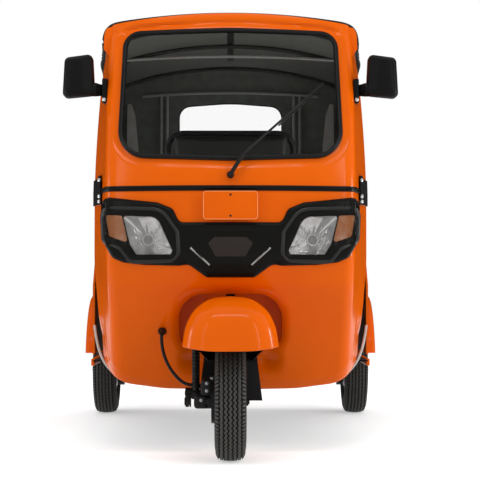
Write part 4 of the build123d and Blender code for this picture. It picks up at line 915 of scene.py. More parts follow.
# The beading runs round the corners to the side brackets: a black strip with a bright bead along its middle.
beading = {"height": 971, "end": 262, "strip": ((-9.4, -3), (-9.6, 2), (-8, 4.4), (-5, 4.8), (-3.6, 3),
    (3.6, 3), (5, 4.8), (8, 4.4), (9.6, 2), (9.4, -3)), "bead": ((-4.2, 2), (-3.8, 4.2), (-1.6, 5.9),
    (1.6, 5.9), (3.8, 4.2), (4.2, 2))}
beadSection = sectionHalf(beading["height"], 0, 40, 12, 12)
beadHalf = [(x, v) for x, v in beadSection if v < beading["end"]]
beadPath = [(-x, v) for x, v in beadHalf[::-1]] + beadHalf[1:]
beadLine = []
for number, (x, v) in enumerate(beadPath):
    x0, v0 = beadPath[max(number - 1, 0)]
    x1, v1 = beadPath[min(number + 1, len(beadPath) - 1)]
    normal = np.array([v1 - v0, x0 - x1, 0])
    beadLine.append(((x, v, beading["height"]), normal / np.linalg.norm(normal)))
bead = sweepLine("cowlBeading", beadLine, beading["strip"], False)
finishPiece(bead, "body", rubber, ["cowl_beading"])
beadBright = sweepLine("cowlBeadingInsert", beadLine, beading["bead"], False)
finishPiece(beadBright, "body", glossBlack)


def skinSheet(name, outline, step, top, bottom, tools=()):
    # Closed sheet over the skin, its faces top(x, z) and bottom(x, z) above it, trimmed to the outline.
    xs, zs = [p[0] for p in outline], [p[1] for p in outline]
    x, z = np.meshgrid(np.arange(min(xs) - 2 * step, max(xs) + 2.5 * step, step),
        np.arange(min(zs) - 2 * step, max(zs) + 2.5 * step, step))
    base = skinDistance(x, z)
    slope = np.minimum(np.sqrt(1 + np.gradient(base, step, axis=1) ** 2 + np.gradient(base, step, axis=0) ** 2),
        2.5)
    outer = np.stack([x, base - top(x, z) * slope, z], -1)
    inner = np.stack([x, base - bottom(x, z) * slope, z], -1)
    sheet = shellMesh(name, outer, inner)
    cut(sheet, prismTool(outline, -400, 500), "INTERSECT")
    if tools:
        cut(sheet, list(tools))
    return sheet


def flat(value):
    return lambda x, z: np.full(x.shape, float(value))


glassOutline = screenLine(-windscreen["glassInset"])
screen = skinSheet("windscreenGlass", glassOutline, 14, flat(0.5), flat(-4.5))
finishPiece(screen, "body", clearGlass, ["windscreen_glass"])
print("stage: screen")

fascia = {"reach": 16, "edge": 15, "lipHeight": 4, "hexagonDepth": 5}
fasciaEdge = roundedOutline(fasciaOutline, [26, 30, 40, 60, 30, 22, 40, 34, 30, 40, 34, 34, 20, 20, 34, 34, 40,
    30, 34, 40, 22, 30, 60, 40, 30, 26], steps=6)


def lampEdge(outline, innerRounding=9):
    # The upper corner towards the middle is the roundest.
    inner = min((p for p in outline if p[1] > 830), key=lambda p: abs(p[0]))
    return roundedOutline(outline, [innerRounding if p == inner else 9 for p in outline])


lampRounding = 44
lampEdges = [lampEdge(lampOutline, lampRounding), lampEdge(otherSide(lampOutline), lampRounding),
    lampEdge(indicatorOutline), lampEdge(otherSide(indicatorOutline))]
hexagon = roundedOutline(mirroredOutline([(-65, 800), (-92, 775), (-60, 720)]), 7)
slatShapes = [[(-146, 757), (-134, 757), (-62, 690), (-74, 690)],
    [(146, 757), (74, 690), (62, 690), (134, 757)]]


def fasciaTop(x, z):
    inward = np.maximum(outlineDistance(fasciaEdge, x, z), 0)
    t = np.clip(inward / fascia["edge"], 0, 1)
    height = 3 + (fascia["reach"] - 3) * np.sqrt(1 - (1 - t) ** 2)
    toLamp = np.full(x.shape, 1e9)
    for edge in lampEdges:
        toLamp = np.minimum(toLamp, -outlineDistance(edge, x, z))
    height -= fascia["lipHeight"] * (1 - smoothStep(2, 14, toLamp))
    inHexagon = smoothStep(0, 5, outlineDistance(hexagon, x, z))
    height -= fascia["hexagonDepth"] * inHexagon
    for shape in slatShapes:
        height += 5 * smoothStep(0, 5, outlineDistance(shape, x, z))
    middle = 1 - smoothStep(150, 200, np.abs(x))
    sunk = middle * smoothStep(8, 22, 838 - z) * (1 - smoothStep(0, 60, 690 - z))
    return np.maximum(height - 4 * sunk * (1 - inHexagon), 1.2)


fasciaPiece = skinSheet("frontFascia", fasciaEdge, 4, fasciaTop, flat(0.3),
    [prismTool(e, -400, 400) for e in lampEdges])
finishPiece(fasciaPiece, "body", glossBlack, ["front_fascia"])
badge = skinSheet("fasciaPanel", roundedOutline(mirroredOutline([(-57, 795), (-80, 774), (-53, 726)]), 5), 5,
    flat(11.4), flat(4))
finishPiece(badge, "body", badgeBlack)
# Grey strips along the slats' upper edges: a painted highlight on their chamfers.
slatHighlights = []
for side in (-1, 1):
    line = [(side * x, z) for x, z in ((142, 758), (118, 738), (92, 716), (74, 700))]
    slatHighlights.append(sweepLine("slatTrim", skinLine(line), [(-3.6, 12), (-2.6, 15.2), (2.6, 15.2), (3.6, 12)],
        False))
finishPiece(joined("fasciaSlatTrims", slatHighlights), "body", highlightGreyPaint)
rimHalf = [(-458, 902), (-244, 893), (-190, 815), (-184, 716), (-356, 712), (-392, 756), (-450, 781)]
rims = []
for outline in (rimHalf, otherSide(rimHalf)):
    line = dense(roundedOutline(outline, [70 if p[1] == 893 else 30 for p in outline], 8), 10)
    rims.append(sweepLine("lampRim", skinLine(line), [(-11, 9), (-9, 14.4), (-4, 17.6), (3, 17), (8, 13.4),
        (11, 9)]))
finishPiece(joined("lampRims", rims), "body", sheenBlack)
print("stage: fascia", len(fasciaPiece.data.polygons), "faces")


def lampBowl(name, edge, depth, facets):
    cx, cz = np.mean(edge, axis=0)
    ring = dense(edge, 6)
    rims = skinDistance([p[0] for p in ring], [p[1] for p in ring]) - 4
    shares = np.linspace(0, 1, 15)
    grid = []
    for number, share in enumerate(shares):
        row = []
        for (x, z), rim in zip(ring, rims):
            ripple = facets * (0.5 + 0.5 * cos(14 * atan2(z - cz,
                x - cx))) * sin(pi * share) + facets * 0.6 * (number % 2)
            deep = rim + depth * (1 - (1 - share) ** 2) + ripple
            row.append((x + (cx - x) * share * 0.995, deep, z + (cz - z) * share * 0.995))
        grid.append(row)
    grid = np.array(grid)
    return shellMesh(name, grid, grid + [0, 1.5, 0], True, 22), cx, cz


lamps = {"depth": 34, "facet": 2.2}
for side, sideOf in (("Right", list), ("Left", otherSide)):
    outline = sideOf(lampOutline)
    bowl, cx, cz = lampBowl("headlampBowl" + side, lampEdge(outline, lampRounding), lamps["depth"],
        lamps["facet"])
    finishPiece(bowl, "body", chromeReflector, ["headlamp_reflectors"])
    lens = skinSheet("headlampLens" + side, lampEdge(outline, lampRounding), 7, flat(11), flat(7))
    finishPiece(lens, "body", lampGlass, ["headlamp_lenses"])
    front = float(skinDistance([cx], [cz])[0])
    for name, radius, near, far, material in (("bulbRing", 23, 8, 20, chromeReflector),
            ("bulb", 18, 4, 16, bulbMetal)):
        rings = []
        for r, v in [(0.2, near), (radius * 0.7, near - 1), (radius * 0.92, near), (radius, near + 3),
                (radius, far + 18)]:
            rings.append([(cx + r * cos(2 * pi * k / 40), front + v,
                cz + r * sin(2 * pi * k / 40)) for k in range(40)])
        finishPiece(ringMesh(name + side, rings), "body", material)
    outline = sideOf(indicatorOutline)
    bowl, cx, cz = lampBowl("indicatorBowl" + side, lampEdge(outline), 18, 1.4)
    finishPiece(bowl, "body", chromeReflector)
    lens = skinSheet("indicatorLens" + side, roundedOutline(outline, 9), 7, flat(11), flat(7))
    finishPiece(lens, "body", amberGlass, ["front_indicators"])
print("stage: lamps")

# Small fixings on the front: bracket bolts, plate screws, gland.
def platePiece(name, outline, front, rear, edge=1.2):
    # Flat plate with a front-view outline and softened edges.
    plate = prismTool(outline, front, rear)
    plate.name = name
    soften = plate.modifiers.new("edges", "BEVEL")
    soften.width = edge / 1000
    soften.segments = 3
    soften.limit_method = "ANGLE"
    applyModifiers(plate)
    recalculateNormals(plate)
    smoothShade(plate, 40)
    return plate


bracket = {"inner": 480, "rear": 262, "foot": 922, "head": 1030, "thick": 6, "bolts": (1014, 953, 934)}


def cornerStrap(height, grow):
    # Run of a level section from the front corner round to the side, evenly divided.
    section = sectionHalf(height, grow, 60, 24, 60)
    run = section[(section[:, 0] > bracket["inner"]) & (section[:, 1] < bracket["rear"])]
    lengths = np.concatenate([[0], np.cumsum(np.linalg.norm(np.diff(run, axis=0), axis=1))])
    even = np.linspace(0, lengths[-1], 16)
    return np.column_stack([np.interp(even, lengths, run[:, 0]), np.interp(even, lengths, run[:, 1]),
        np.full(16, height)])


strapHeights = np.linspace(bracket["foot"], bracket["head"], 7)
for side, sideName in ((-1, "Right"), (1, "Left")):
    grids = [np.array([cornerStrap(float(h), grow) for h in strapHeights]) * [side, 1,
        1] for grow in (bracket["thick"] + 1, 0.4)]
    strap = shellMesh("bracketFace" + sideName, *grids)
    recalculateNormals(strap)
    finishPiece(strap, "body", blackMetal)
bolts = []
for height in bracket["bolts"]:
    x, v = cornerStrap(float(height), bracket["thick"] + 1)[6][:2]
    bolts += [((side * x, v, height), (side * 0.55, -0.83, 0)) for side in (-1, 1)]
bracketBolts = repeated("bracketBolts", hexBolt(5, 3), bolts, brightSteel)
finishPiece(bracketBolts, "body", brightSteel)

plates = {"front": ((-98, 98), (856, 959), -47.0, -43.2), "rear": ((-110, 110), (760, 880), 2373.3, 2369.6),
    "rounding": 13}
for name in ("front", "rear"):
    (x0, x1), (z0, z1), face, back = plates[name]
    outline = roundedOutline([(x0, z0), (x1, z0), (x1, z1), (x0, z1)], plates["rounding"])
    plate = platePiece(name + "Plate", outline, min(face, back), max(face, back), 1.6)
    way = -1 if name == "front" else 1
    # The lip round each plate is drawn in the lighter orange, a painted highlight on the plate's edge.
    lip = pipe(name + "PlateLip", [(x, face - way * 0.4, z) for x,
        z in dense(roundedOutline([(x0 + 2, z0 + 2), (x1 - 2, z0 + 2), (x1 - 2, z1 - 2), (x0 + 2, z1 - 2)],
        plates["rounding"] - 2), 30)], 1.4, 4, cyclic=True)
    finishPiece(plate, "body", paint, ["number_plates"])
    finishPiece(lip, "body", paintedHighlightOrange)
plateScrews = repeated("plateScrews", domeScrew(4.2), [((0, -47.2, 945), (0, -1, 0)),
    ((0, -47.2, 870), (0, -1, 0)), ((-90, 2373.6, 820), (0, 1, 0)), ((90, 2373.6, 820), (0, 1, 0))], blackMetal)
finishPiece(plateScrews, "body", blackMetal)
gland = [(16, 178), (16, 165), (13, 158), (10.5, 150), (9, 146), (5.5, 146), (5.5, 178)]
glandRings = [[(-251 + r * cos(t), v, 454 + r * sin(t)) for r, v in gland] for t in np.linspace(0, 2 * pi, 28,
    endpoint=False)]
glandPiece = ringMesh("hoseGland", glandRings, True)
finishPiece(glandPiece, "body", rubber)

mudguard = {
    "wall": 4, "steps": 26, "dip": 14,
    # height, half width, front end, rear end, corner rounding
    "rows": ((412, 168, -262, 122, 112), (464, 160, -256, 119, 108), (522, 137, -230, 100, 96),
             (561, 98, -180, 62, 72), (580, 54, -124, 14, 42), (584, 14, -72, -36, 13)),
}


def mudguardRing(level, drop, shrink):
    half, front, rear, rounding = monotoneRun(mudguard["rows"], np.array([level]))[0]
    half, front, rear, rounding = half - shrink, front + shrink, rear - shrink, rounding - shrink
    corners = [(-half, front), (half, front), (half, rear), (-half, rear)]
    line = roundedOutline(corners, max(min(rounding, half * 0.96), 2), 10)
    low = (1 - smoothStep(412, 470, level)) * mudguard["dip"]
    return [(x, v, level - drop - low * (1 - (x / 168) ** 2) * (1 - smoothStep(-262, -120, v))) for x,
        v in line]


levels = 412 + (583.5 - 412) * np.sin(np.linspace(0, pi / 2, mudguard["steps"]))
outer = [mudguardRing(level, 0, 0) for level in levels]
inner = [mudguardRing(level, 0 if number == 0 else mudguard["wall"], mudguard["wall"]) for number,
    level in enumerate(levels)]
outerGrid, innerGrid = np.array(outer), np.array(inner)
guardShell = shellMesh("mudguardShell", outerGrid, innerGrid, True, 60)
guardCap = ringMesh("mudguardCap", [outerGrid[-1] - [0, 0, 4], outerGrid[-1],
    outerGrid[-1] * [0.6, 1, 1] + [0, 0, 0.6]], False, 60)
hem = pipe("mudguardHem", mudguardRing(414, 0, 1)[::2], 3.4, 6, cyclic=True)
guard = joined("frontMudguard", [guardShell, guardCap, hem], 50)
finishPiece(guard, "fork", paint, ["front_mudguard"])

# Its dark rear liner narrows down towards the flap. The liner and the lining inside the guard are black, painted
# shade over the guard's shaded inside.
liner = {"rows": ((470, 150, 60, 116), (430, 148, 70, 116), (404, 140, 76, 116), (378, 108, 84, 120),
    (352, 84, 92, 128))}
linerOuter, linerInner = [], []
for height, half, edgeDistance, backDistance in liner["rows"]:
    across = np.linspace(-1, 1, 33)
    bow = backDistance - (backDistance - edgeDistance) * across**4
    linerOuter.append(np.column_stack([across * half, bow, np.full(33, float(height))]))
    linerInner.append(np.column_stack([across * (half - 2), bow - 3, np.full(33, float(height))]))
linerPiece = shellMesh("mudguardLiner", np.array(linerOuter), np.array(linerInner))
recalculateNormals(linerPiece)
lining = []
for number, level in enumerate(levels):
    lining.append(mudguardRing(level, 1.2, mudguard["wall"] + 0.6))
liningGrid = np.array(lining[:-3])
lined = shellMesh("mudguardLining", liningGrid, liningGrid * [0.985, 1, 1] - [0, 0, 1.2], True, 60)
recalculateNormals(lined)
# Black liner and lining: painted shade inside the mudguard.
finishPiece(joined("mudguardInner", [linerPiece, lined], 60), "fork", blackPlastic)
print("stage: mudguard")

tyre = {
    "radius": 210, "ribs": 5, "pitch": 15.6, "rib": 9.2, "swing": 3.4, "repeats": 66, "base": 202,
    # along the axle, radius
    "wall": ((35, 106), (38, 113), (44, 120), (50, 128), (53.5, 140), (54.6, 141.5), (54.6, 144.5), (55.6,
                                                            146), (56, 158),
             (55.4, 167), (54.2, 168.5), (54.0, 170.5), (54.2, 172.5), (51.4, 181), (47.6, 188.5), (43.6,
                                                            195), (39.5, 199.8)),
}


def treadSlice():
    # One turn-step of the tread: ribs that swing from side to side.
    vertices, faces = [], []
    step = 2 * pi / tyre["repeats"]
    for rib in range(tyre["ribs"]):
        centre = (rib - (tyre["ribs"] - 1) / 2) * tyre["pitch"]
        half = tyre["rib"] / 2
        for number in range(3):
            shift = tyre["swing"] if number == 1 else -tyre["swing"]
            if rib in (0, tyre["ribs"] - 1):
                shift *= 0.5
            turn = (number / 2 - 0.5) * step
            for a, r in ((-half, tyre["base"] - 3), (-half, -1), (-half + 1, 0), (half - 1, 0), (half, -1),
                    (half, tyre["base"] - 3)):
                along = centre + a + shift
                crown = tyre["radius"] - 4.8 * (along / 42) ** 2
                radius = r if r > 100 else crown + r
                vertices.append((along / 1000, radius * sin(turn) / 1000, radius * cos(turn) / 1000))
        base = rib * 18
        for number in range(2):
            for k in range(5):
                a = base + number * 6 + k
                faces.append((a, a + 1, a + 7, a + 6))
    mesh = bpy.data.meshes.new("treadSlice")
    mesh.from_pydata(vertices, [], faces)
    return link(bpy.data.objects.new("treadSlice", mesh))


def spunPlaces(name, piece, across, distance, height, count, material, merge=0):
    # Copies turned about the axle's line; the piece is made about that line.
    mesh = bpy.data.meshes.new(name)
    mesh.from_pydata([place(across, distance, height)] * count, [], [])
    turns = []
    for k in range(count):
        turns += [2 * pi * k / count, 0.0, 0.0]
    mesh.attributes.new("turn", "FLOAT_VECTOR", "POINT").data.foreach_set("vector", turns)
    mesh.attributes.new("size", "FLOAT", "POINT").data.foreach_set("value", [1.0] * count)
    obj = link(bpy.data.objects.new(name, mesh))
    runNodes(obj, repeatPiece, {"Piece": piece, "Size": 1.0, "Material": material})
    bpy.data.objects.remove(piece)
    if merge:
        recalculateNormals(obj, merge)
    smoothShade(obj, 35)
    return obj


def shoulderBlock():
    mesh = bpy.data.meshes.new("shoulderBlock")
    vertices = []
    for side in (-1, 1):
        for a, r in ((39, 199), (42.5, 204.6), (48, 197), (53, 186), (51, 182.5), (44, 190)):
            for b in (-3.4, 3.4):
                vertices.append((side * a / 1000, b / 1000, r / 1000))
    faces = []
    for base in (0, 12):
        near = [base + 2 * k for k in range(6)]
        far = [base + 2 * k + 1 for k in range(6)]
        faces += [tuple(near), tuple(far[::-1])]
        faces += [(near[k], far[k], far[(k + 1) % 6], near[(k + 1) % 6]) for k in range(6)]
    mesh.from_pydata(vertices, [], faces)
    obj = link(bpy.data.objects.new("shoulderBlock", mesh))
    recalculateNormals(obj)
    return obj


wheels = {"nutRing": 58, "rows": (("front", "front_wheel", 0, 0, 1),
    ("rearLeft", "rear_left_wheel", 602, 1985, 1), ("rearRight", "rear_right_wheel", -602, 1985, -1)),}
for name, body, across, distance, facing in wheels["rows"]:
    node = {"front": "front", "rearLeft": "rear_left", "rearRight": "rear_right"}[name]
    right = [(a, r) for a, r in tyre["wall"]]
    profile = right + [(30, 202.5), (0, 203), (-30, 202.5)] + [(-a, r) for a, r in right[::-1]] + [(-30, 105),
        (30, 105)]
    carcass = turnedMesh(name + "Carcass", profile, across, distance, 210, 96, 50)
    tread = spunPlaces(name + "Tread", treadSlice(), across, distance, 210, tyre["repeats"], treadRubber, 2e-5)
    shoulders = spunPlaces(name + "Shoulders", shoulderBlock(), across, distance, 210, 88, treadRubber)
    finishPiece(carcass, body, tyreRubber, [node + "_tyre"])
    finishPiece(joined(name + "TreadRibs", [tread, shoulders]), body, treadRubber)
    f = facing
    disc = [(-36.3, 113), (-37.5, 115), (-41, 115), (-43, 112), (-42.5, 100), (-38, 97), (7, 97), (7, 90),
        (3, 82), (5, 70), (7, 60), (7, 34), (-12, 34), (-12, 80), (-16, 82), (-46, 82), (-50, 78), (-50, 11.9),
        (50, 11.9), (50, 30), (46, 34), (20, 36), (14, 42), (14, 60), (11, 70), (9, 82), (13, 90), (16, 97),
        (38, 97), (42.5, 100), (43, 112), (41, 115), (37.5, 115), (36.3, 113), (35.9, 105), (-35.9, 105)]
    rim = turnedMesh(name + "RimDisc", [(f * a, r) for a, r in disc], across, distance, 210, 72, 32)
    parts = [rim]
    if across:
        parts.append(turnedMesh(name + "Shaft", [(f * 40, 0.05), (f * 66, 0.05), (f * 71, 10), (f * 71, 12),
            (f * 66, 19), (f * 50, 19), (f * 50, 12), (f * 40, 12)], across, distance, 210, 6, 20))
        parts.append(turnedMesh(name + "DriveShaft", [(f * -472, 0.05), (f * 44, 0.05), (f * 44, 12),
            (f * -472, 12)], across, distance, 210, 28, 32))
    finishPiece(joined(name + "Rim", parts, 32), body, wheelPaint, [node + "_rim"])
    nuts = [((across + f * 14, distance + wheels["nutRing"] * cos(t), 210 + wheels["nutRing"] * sin(t)),
        (f, 0, 0), 15) for t in np.linspace(0, 2 * pi, 5, endpoint=False)]
    finishPiece(repeated(name + "Nuts", hexBolt(8, 8), nuts, brightSteel), body, brightSteel)
    valve = pipe(name + "Valve", [(across + f * 12, distance, 297), (across + f * 30, distance, 290),
        (across + f * 38, distance, 286)], 3)
    finishPiece(valve, body, rubber)
print("stage: wheels")

shock = {"low": (-125, 10, 232), "lean": 0.17}


def shockPlace(rise):
    return (-125, shock["low"][1] + shock["lean"] * rise, shock["low"][2] + rise)


body = pipe("shockTube", [shockPlace(16), shockPlace(112)], 8.5, 8, False)
rod = pipe("shockRod", [shockPlace(110), shockPlace(196)], 5, 8, False)
eye = turnedMesh("shockEye", [(-9, 8), (9, 8), (9, 13.5), (7, 14.5), (-7, 14.5), (-9, 13.5)], -125, 10, 232, 32)
seats = [pipe("shockSeat", [shockPlace(a), shockPlace(b)], 15, 10, False) for a, b in ((26, 31), (170, 176))]
finishPiece(joined("frontShock", [body, eye] + seats), "fork", blackMetal, ["front_shock"])
finishPiece(rod, "fork", blackMetal)
finishPiece(coil("frontSpring", shockPlace(31), shockPlace(171), 12.2, 2.3, 11, blackMetal), "fork", blackMetal)
for side, sideName in ((-1, "Right"), (1, "Left")):
    low, high = (side * 440, 1878, 290), (side * 440, 1901, 540)
    strut = pipe("rearStrut" + sideName, [(side * 440, 1868, 236), (side * 440, 1905, 586)], 10, 8, False)
    caps = [pipe("cap", [(side * 440, 1877.6, 285), (side * 440, 1878.6, 293)], 31, 12, False),
        pipe("cap", [(side * 440, 1900.6, 537), (side * 440, 1901.6, 545)], 31, 12, False),
        loftBox("topBracket", (side * 440, 1905, 585.7), (48, 60, 12), 2)]
    finishPiece(joined("rearDamper" + sideName, [strut] + caps), "body", blackMetal,
        ["rear_struts"])
    finishPiece(coil("rearSpring" + sideName, low, high, 26, 4.6, 8, blackMetal), "body", blackMetal)

hosePoints = [(-251, 147, 454), (-251, 128, 454), (-251, 112, 448), (-250, 92, 404), (-236, 78, 352),
    (-206, 60, 304), (-168, 44, 268), (-140, 40, 264), (-106, 40, 264)]
hose = pipe("brakeHose", hosePoints, 6, 10)
hose.data.materials.clear()
hose.data.materials.append(rubber)
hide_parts("brake_hose")
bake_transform(hose)
fittings = [turnedMesh("fitting", [(-128, 5.2), (-104, 5.2), (-104, 8.5), (-120, 8.5), (-124, 7), (-128, 7)], 0,
    40, 264, 6, 20)]
finishPiece(joined("hoseFitting", fittings, 20), "fork", brightSteel)
axleStack = [turnedMesh("axleWasher", [(-164, 0.05), (-140, 0.05), (-140, 20), (-146, 20), (-146, 14),
    (-164, 14)], 0, 0, 210, 28, 32), turnedMesh("axleNut", [(-160, 0.05), (-148, 0.05), (-148, 22), (-160, 22)],
    0, 0, 210, 6, 20), loftBox("caliperBody", (-84, 12, 262), (40, 96, 58), 8, 3),
    loftBox("caliperBridge", (-66, 12, 262), (18, 66, 76), 6, 3),
    loftBox("linkBoss", (-104, 4, 210), (52, 60, 50), 12, 3),
    loftBox("linkRib", (-96, 20, 236), (20, 70, 40), 6, 3),
    pipe("caliperPipe", [(-106, 40, 264), (-96, 30, 300), (-84, 20, 292)], 3.4)]
finishPiece(joined("brakeCaliper", axleStack, 30), "fork", blackMetal)
caliperBolts = repeated("caliperBolts", hexBolt(4.5, 4), [((-84, -36.2, 250), (0, -1, 0)),
    ((-84, -36.2, 276), (0, -1, 0)), ((-66, -21.2, 292), (0, -1, 0)), ((-104, -26.4, 216), (0, -1, 0))],
    castMetal)
finishPiece(caliperBolts, "fork", castMetal)
print("stage: suspension and hose")

# Mirrors: rounded shells with a chamfered inner face.
mirror = {"outline": ((504, 1328), (624, 1316), (616, 1468), (512, 1482)), "rounding": 20,
          # distance, inset all round, extra inset at the inner side
          "layers": ((228, 2, 0), (226, 0, 0), (196, 0, 0), (184, 3, 3), (172, 11, 24), (167, 17, 30), (165,
                                                            26, 38))}
mirrorRings = []
for distance, inset, innerInset in mirror["layers"]:
    (x0, z0), (x1, z1), (x2, z2), (x3, z3) = mirror["outline"]
    corners = [(x0 + inset + innerInset, z0 + inset), (x1 - inset, z1 + inset), (x2 - inset, z2 - inset),
        (x3 + inset + innerInset, z3 - inset)]
    mirrorRings.append([(x, distance, z) for x, z in roundedOutline(corners,
        max(mirror["rounding"] - inset * 0.4, 8), 8)])
shellLeft = ringMesh("mirrorShellLeft", mirrorRings, False, 28)
inset = [(mirror["outline"][k][0] + dx, mirror["outline"][k][1] + dz) for k,
    (dx, dz) in enumerate(((6, 6), (-6, 6), (-6, -6), (6, -6)))]
cut(shellLeft, prismTool(roundedOutline(inset, 15), 216, 260), angle=28)
shellRight = mirrorCopy(shellLeft, "mirrorShellRight")
for side, sideName, shell in ((1, "Left", shellLeft), (-1, "Right", shellRight)):
    stalk = ringMesh("mirrorStalk", [[(side * x, v + 17 * cos(t) * w,
        1350 + 26 * w * sin(t)) for t in np.linspace(0, 2 * pi, 24, endpoint=False)] for x, v,
        w in ((520, 200, 1.0), (500, 206, 0.98), (486, 220, 0.86), (470, 238, 0.8), (452, 262, 0.8))])
    foot = loftBox("mirrorFoot", (side * 468, 240, 1346), (20, 84, 92), 6, 3)
    ring = pipe("stalkRing", [(side * 497, 190, 1350), (side * 493, 193, 1350)], 3, 6, False)
    finishPiece(joined("mirror" + sideName, [shell, stalk, foot, ring], 28), "body", blackPlastic,
        ["mirror_housings"])
    bolt = repeated("mirrorBolt" + sideName, hexBolt(5, 5), [((side * 470, 198, 1312), (0, -1, 0))],
        brightSteel)
    finishPiece(bolt, "body", brightSteel)

# Wiper: ringed pivot, thick cranked arm, thin arm and a blade of two strips.
pivot = ringMesh("wiperPivot", [[(r * cos(t), v, 1018 + r * sin(t)) for t in np.linspace(0, 2 * pi, 28,
    endpoint=False)] for r, v in ((11, -2), (11, -18), (9.5, -22), (9.5, -30), (7, -34))])
crank = pipe("wiperCrank", [(0, -26, 1018), (14, -28, 1042), (30, -26, 1068), (48, -20, 1094)], 7.5)
arm = pipe("wiperArm", [(44, -22, 1090), (120, 8, 1160), (190, 52, 1226), (262, 86, 1291)], 4.4)
finishPiece(joined("wiperArmSet", [pivot, crank, arm]), "body", blackMetal, ["wiper"])
bladeLine = []
for share in np.linspace(0, 1, 18):
    x, z = 170 + 170 * share, 1204 + 158 * share
    bladeLine.append(skinFrame(x, z))
bladeTop = sweepLine("wiperBladeTop", [(np.array(p) + n * 11, n) for p, n in bladeLine],
    [(-4.4, -1.5), (-4.4, 1.5), (-1, 2), (3, 1.5), (3, -1.5)], False)
bladeEdge = sweepLine("wiperBladeEdge", [(np.array(p) + n * 5, n) for p, n in bladeLine],
    [(4, -4.6), (4, 4), (8, 4), (8, -4.6)], False)
finishPiece(joined("wiperBlade", [bladeTop, bladeEdge], 30), "body", rubber)
ringTurn = [((11.6 + 1.6 * cos(a)), 1.6 * sin(a)) for a in np.linspace(0, 2 * pi, 8, endpoint=False)]
collar = ringMesh("pivotRing", [[(r * cos(t), -16 + v, 1018 + r * sin(t)) for r,
    v in ringTurn] for t in np.linspace(0, 2 * pi, 28, endpoint=False)], True)
finishPiece(collar, "body", blackMetal)
print("stage: mirrors and wiper")

# Rear: louvre hoods on the lid, a latch, lens segments in the tail lamps, and a pale bead round the cowl's foot,
# which is a painted highlight on its rolled edge.
# Repeated pieces are made about the frame's own origin, this far behind the front axle.
pieceOrigin = (0, 1063, 0)
louvres = {"size": (228, 9, 5), "half": 165, "rows": 7, "first": 439, "pitch": 30, "face": 2390}
louvre = loftBox("louvre", pieceOrigin, louvres["size"], 2)
louvrePlaces = [((side * louvres["half"], louvres["face"], louvres["first"] + louvres["pitch"] * row),
    (0, 1, 0), 0, 1) for side in (-1, 1) for row in range(louvres["rows"])]
finishPiece(repeated("lidLouvres", louvre, louvrePlaces, paint), "engine_lid", paint)
latch = [loftBox("latchPlate", (0, 2390, 664), (70, 5, 30), 2),
    turnedMesh("latchKnob", [(-24, 9), (24, 9)], 0, 2394, 664, 20)]
finishPiece(joined("lidLatch", latch), "engine_lid", blackMetal)
for side, sideName in ((-1, "Right"), (1, "Left")):
    finishPiece(loftBox("tailAmber" + sideName, (side * 500, 2388, 742), (84, 7, 42), 3), "body", amberGlass)
    finishPiece(loftBox("tailClear" + sideName, (side * 500, 2388, 692), (84, 7, 40), 3), "body", lampGlass)
# The pale beads stand in for light on the cowl's rolled foot: a painted highlight.
sillHighlightBeads = []
for side in (-1, 1):
    line = [(side * x, 392, z) for x, z in ((520, 470), (514, 420), (500, 360), (474, 312), (436, 276),
        (404, 262))]
    sillHighlightBeads.append(pipe("sillBead", line, 5, 6))
finishPiece(joined("cowlFootBeads", sillHighlightBeads), "body", paleBoard)
print("stage: rear details")

# Floor: a plain tray with ribs in the footwell, painted sills, and the nose between them.
tray = [loftBox("floorMain", (0, 1040, 331), (1060, 1196, 6), 1),
    loftBox("floorNose", (0, 370, 331), (868, 148, 6), 1)]
finishPiece(joined("floorTray", tray), "body", blackPlastic, ["floor_pan"])
floorRib = {"size": (840, 8, 4), "first": 470, "pitch": 34, "height": 335, "count": 8}
ribPlaces = [((0, floorRib["first"] + floorRib["pitch"] * n, floorRib["height"]), (0, 0, 1), 0,
    1) for n in range(floorRib["count"])]
ribs = repeated("floorRibs", loftBox("rib", pieceOrigin, floorRib["size"], 1), ribPlaces, rubber)
finishPiece(ribs, "body", rubber)
sills = [loftBox("sill", (side * 532, 1042, 325), (12, 1190, 26), 2) for side in (-1, 1)]
finishPiece(joined("floorSills", sills), "body", paint)

canopy = {
    "front": 285, "eave": 1537, "doorRear": 1490, "foot": 905.3, "spineEnd": 1900, "thickness": 2.0,
    "cornerRounding": 85, "shoulderRounding": 32, "frontRounding": 44, "rearRounding": 160,
    "roofSag": 8.5, "sideSag": 2.4,
    "bows": (413, 893, 1507, 2143), "bandHalf": 24,
    # distance, half width under the shoulder and at the body's rim, shoulder height, crown height
    "rows": ((285, 478, 508, 1606, 1650), (485, 492, 522, 1612, 1674), (805, 528, 562, 1626, 1726),
             (1500, 570, 606, 1630, 1730), (2450, 574, 608, 1604, 1712)),
}
hoodTable = np.array(canopy["rows"], float)


def roundMax(a, b, radius):
    return np.minimum(-radius, np.maximum(a, b)) + np.hypot(np.maximum(a + radius, 0),
        np.maximum(b + radius, 0))


def hoodOutside(x, d, z):
    # Positive outside the hood, negative inside.
    halfTop, halfFoot, shoulder, crown = [np.interp(d, hoodTable[:, 0], hoodTable[:, k]) for k in range(1, 5)]
    half = halfFoot + (halfTop - halfFoot) * (z - 845) / (shoulder - 845)
    half = np.minimum(half, 611 - 40 * (z - 845) / 923)
    rise = crown - shoulder
    arc = (halfTop**2 + rise**2) / (2 * rise)
    roof = z - (crown - arc + np.sqrt(np.maximum(arc**2 - np.minimum(np.abs(x), halfTop) ** 2, 0)))
    walls = roundMax(np.abs(x) - half, d - (2366 - 58 * (z - 845) / 923), canopy["cornerRounding"])
    radius = canopy["shoulderRounding"] + (canopy["rearRounding"] - canopy["shoulderRounding"]) * smoothStep(
        2140, 2300, d)
    radius = radius + (canopy["frontRounding"] - canopy["shoulderRounding"]) * (1 - smoothStep(880, 1500, d))
    return roundMax(walls, roof, radius)


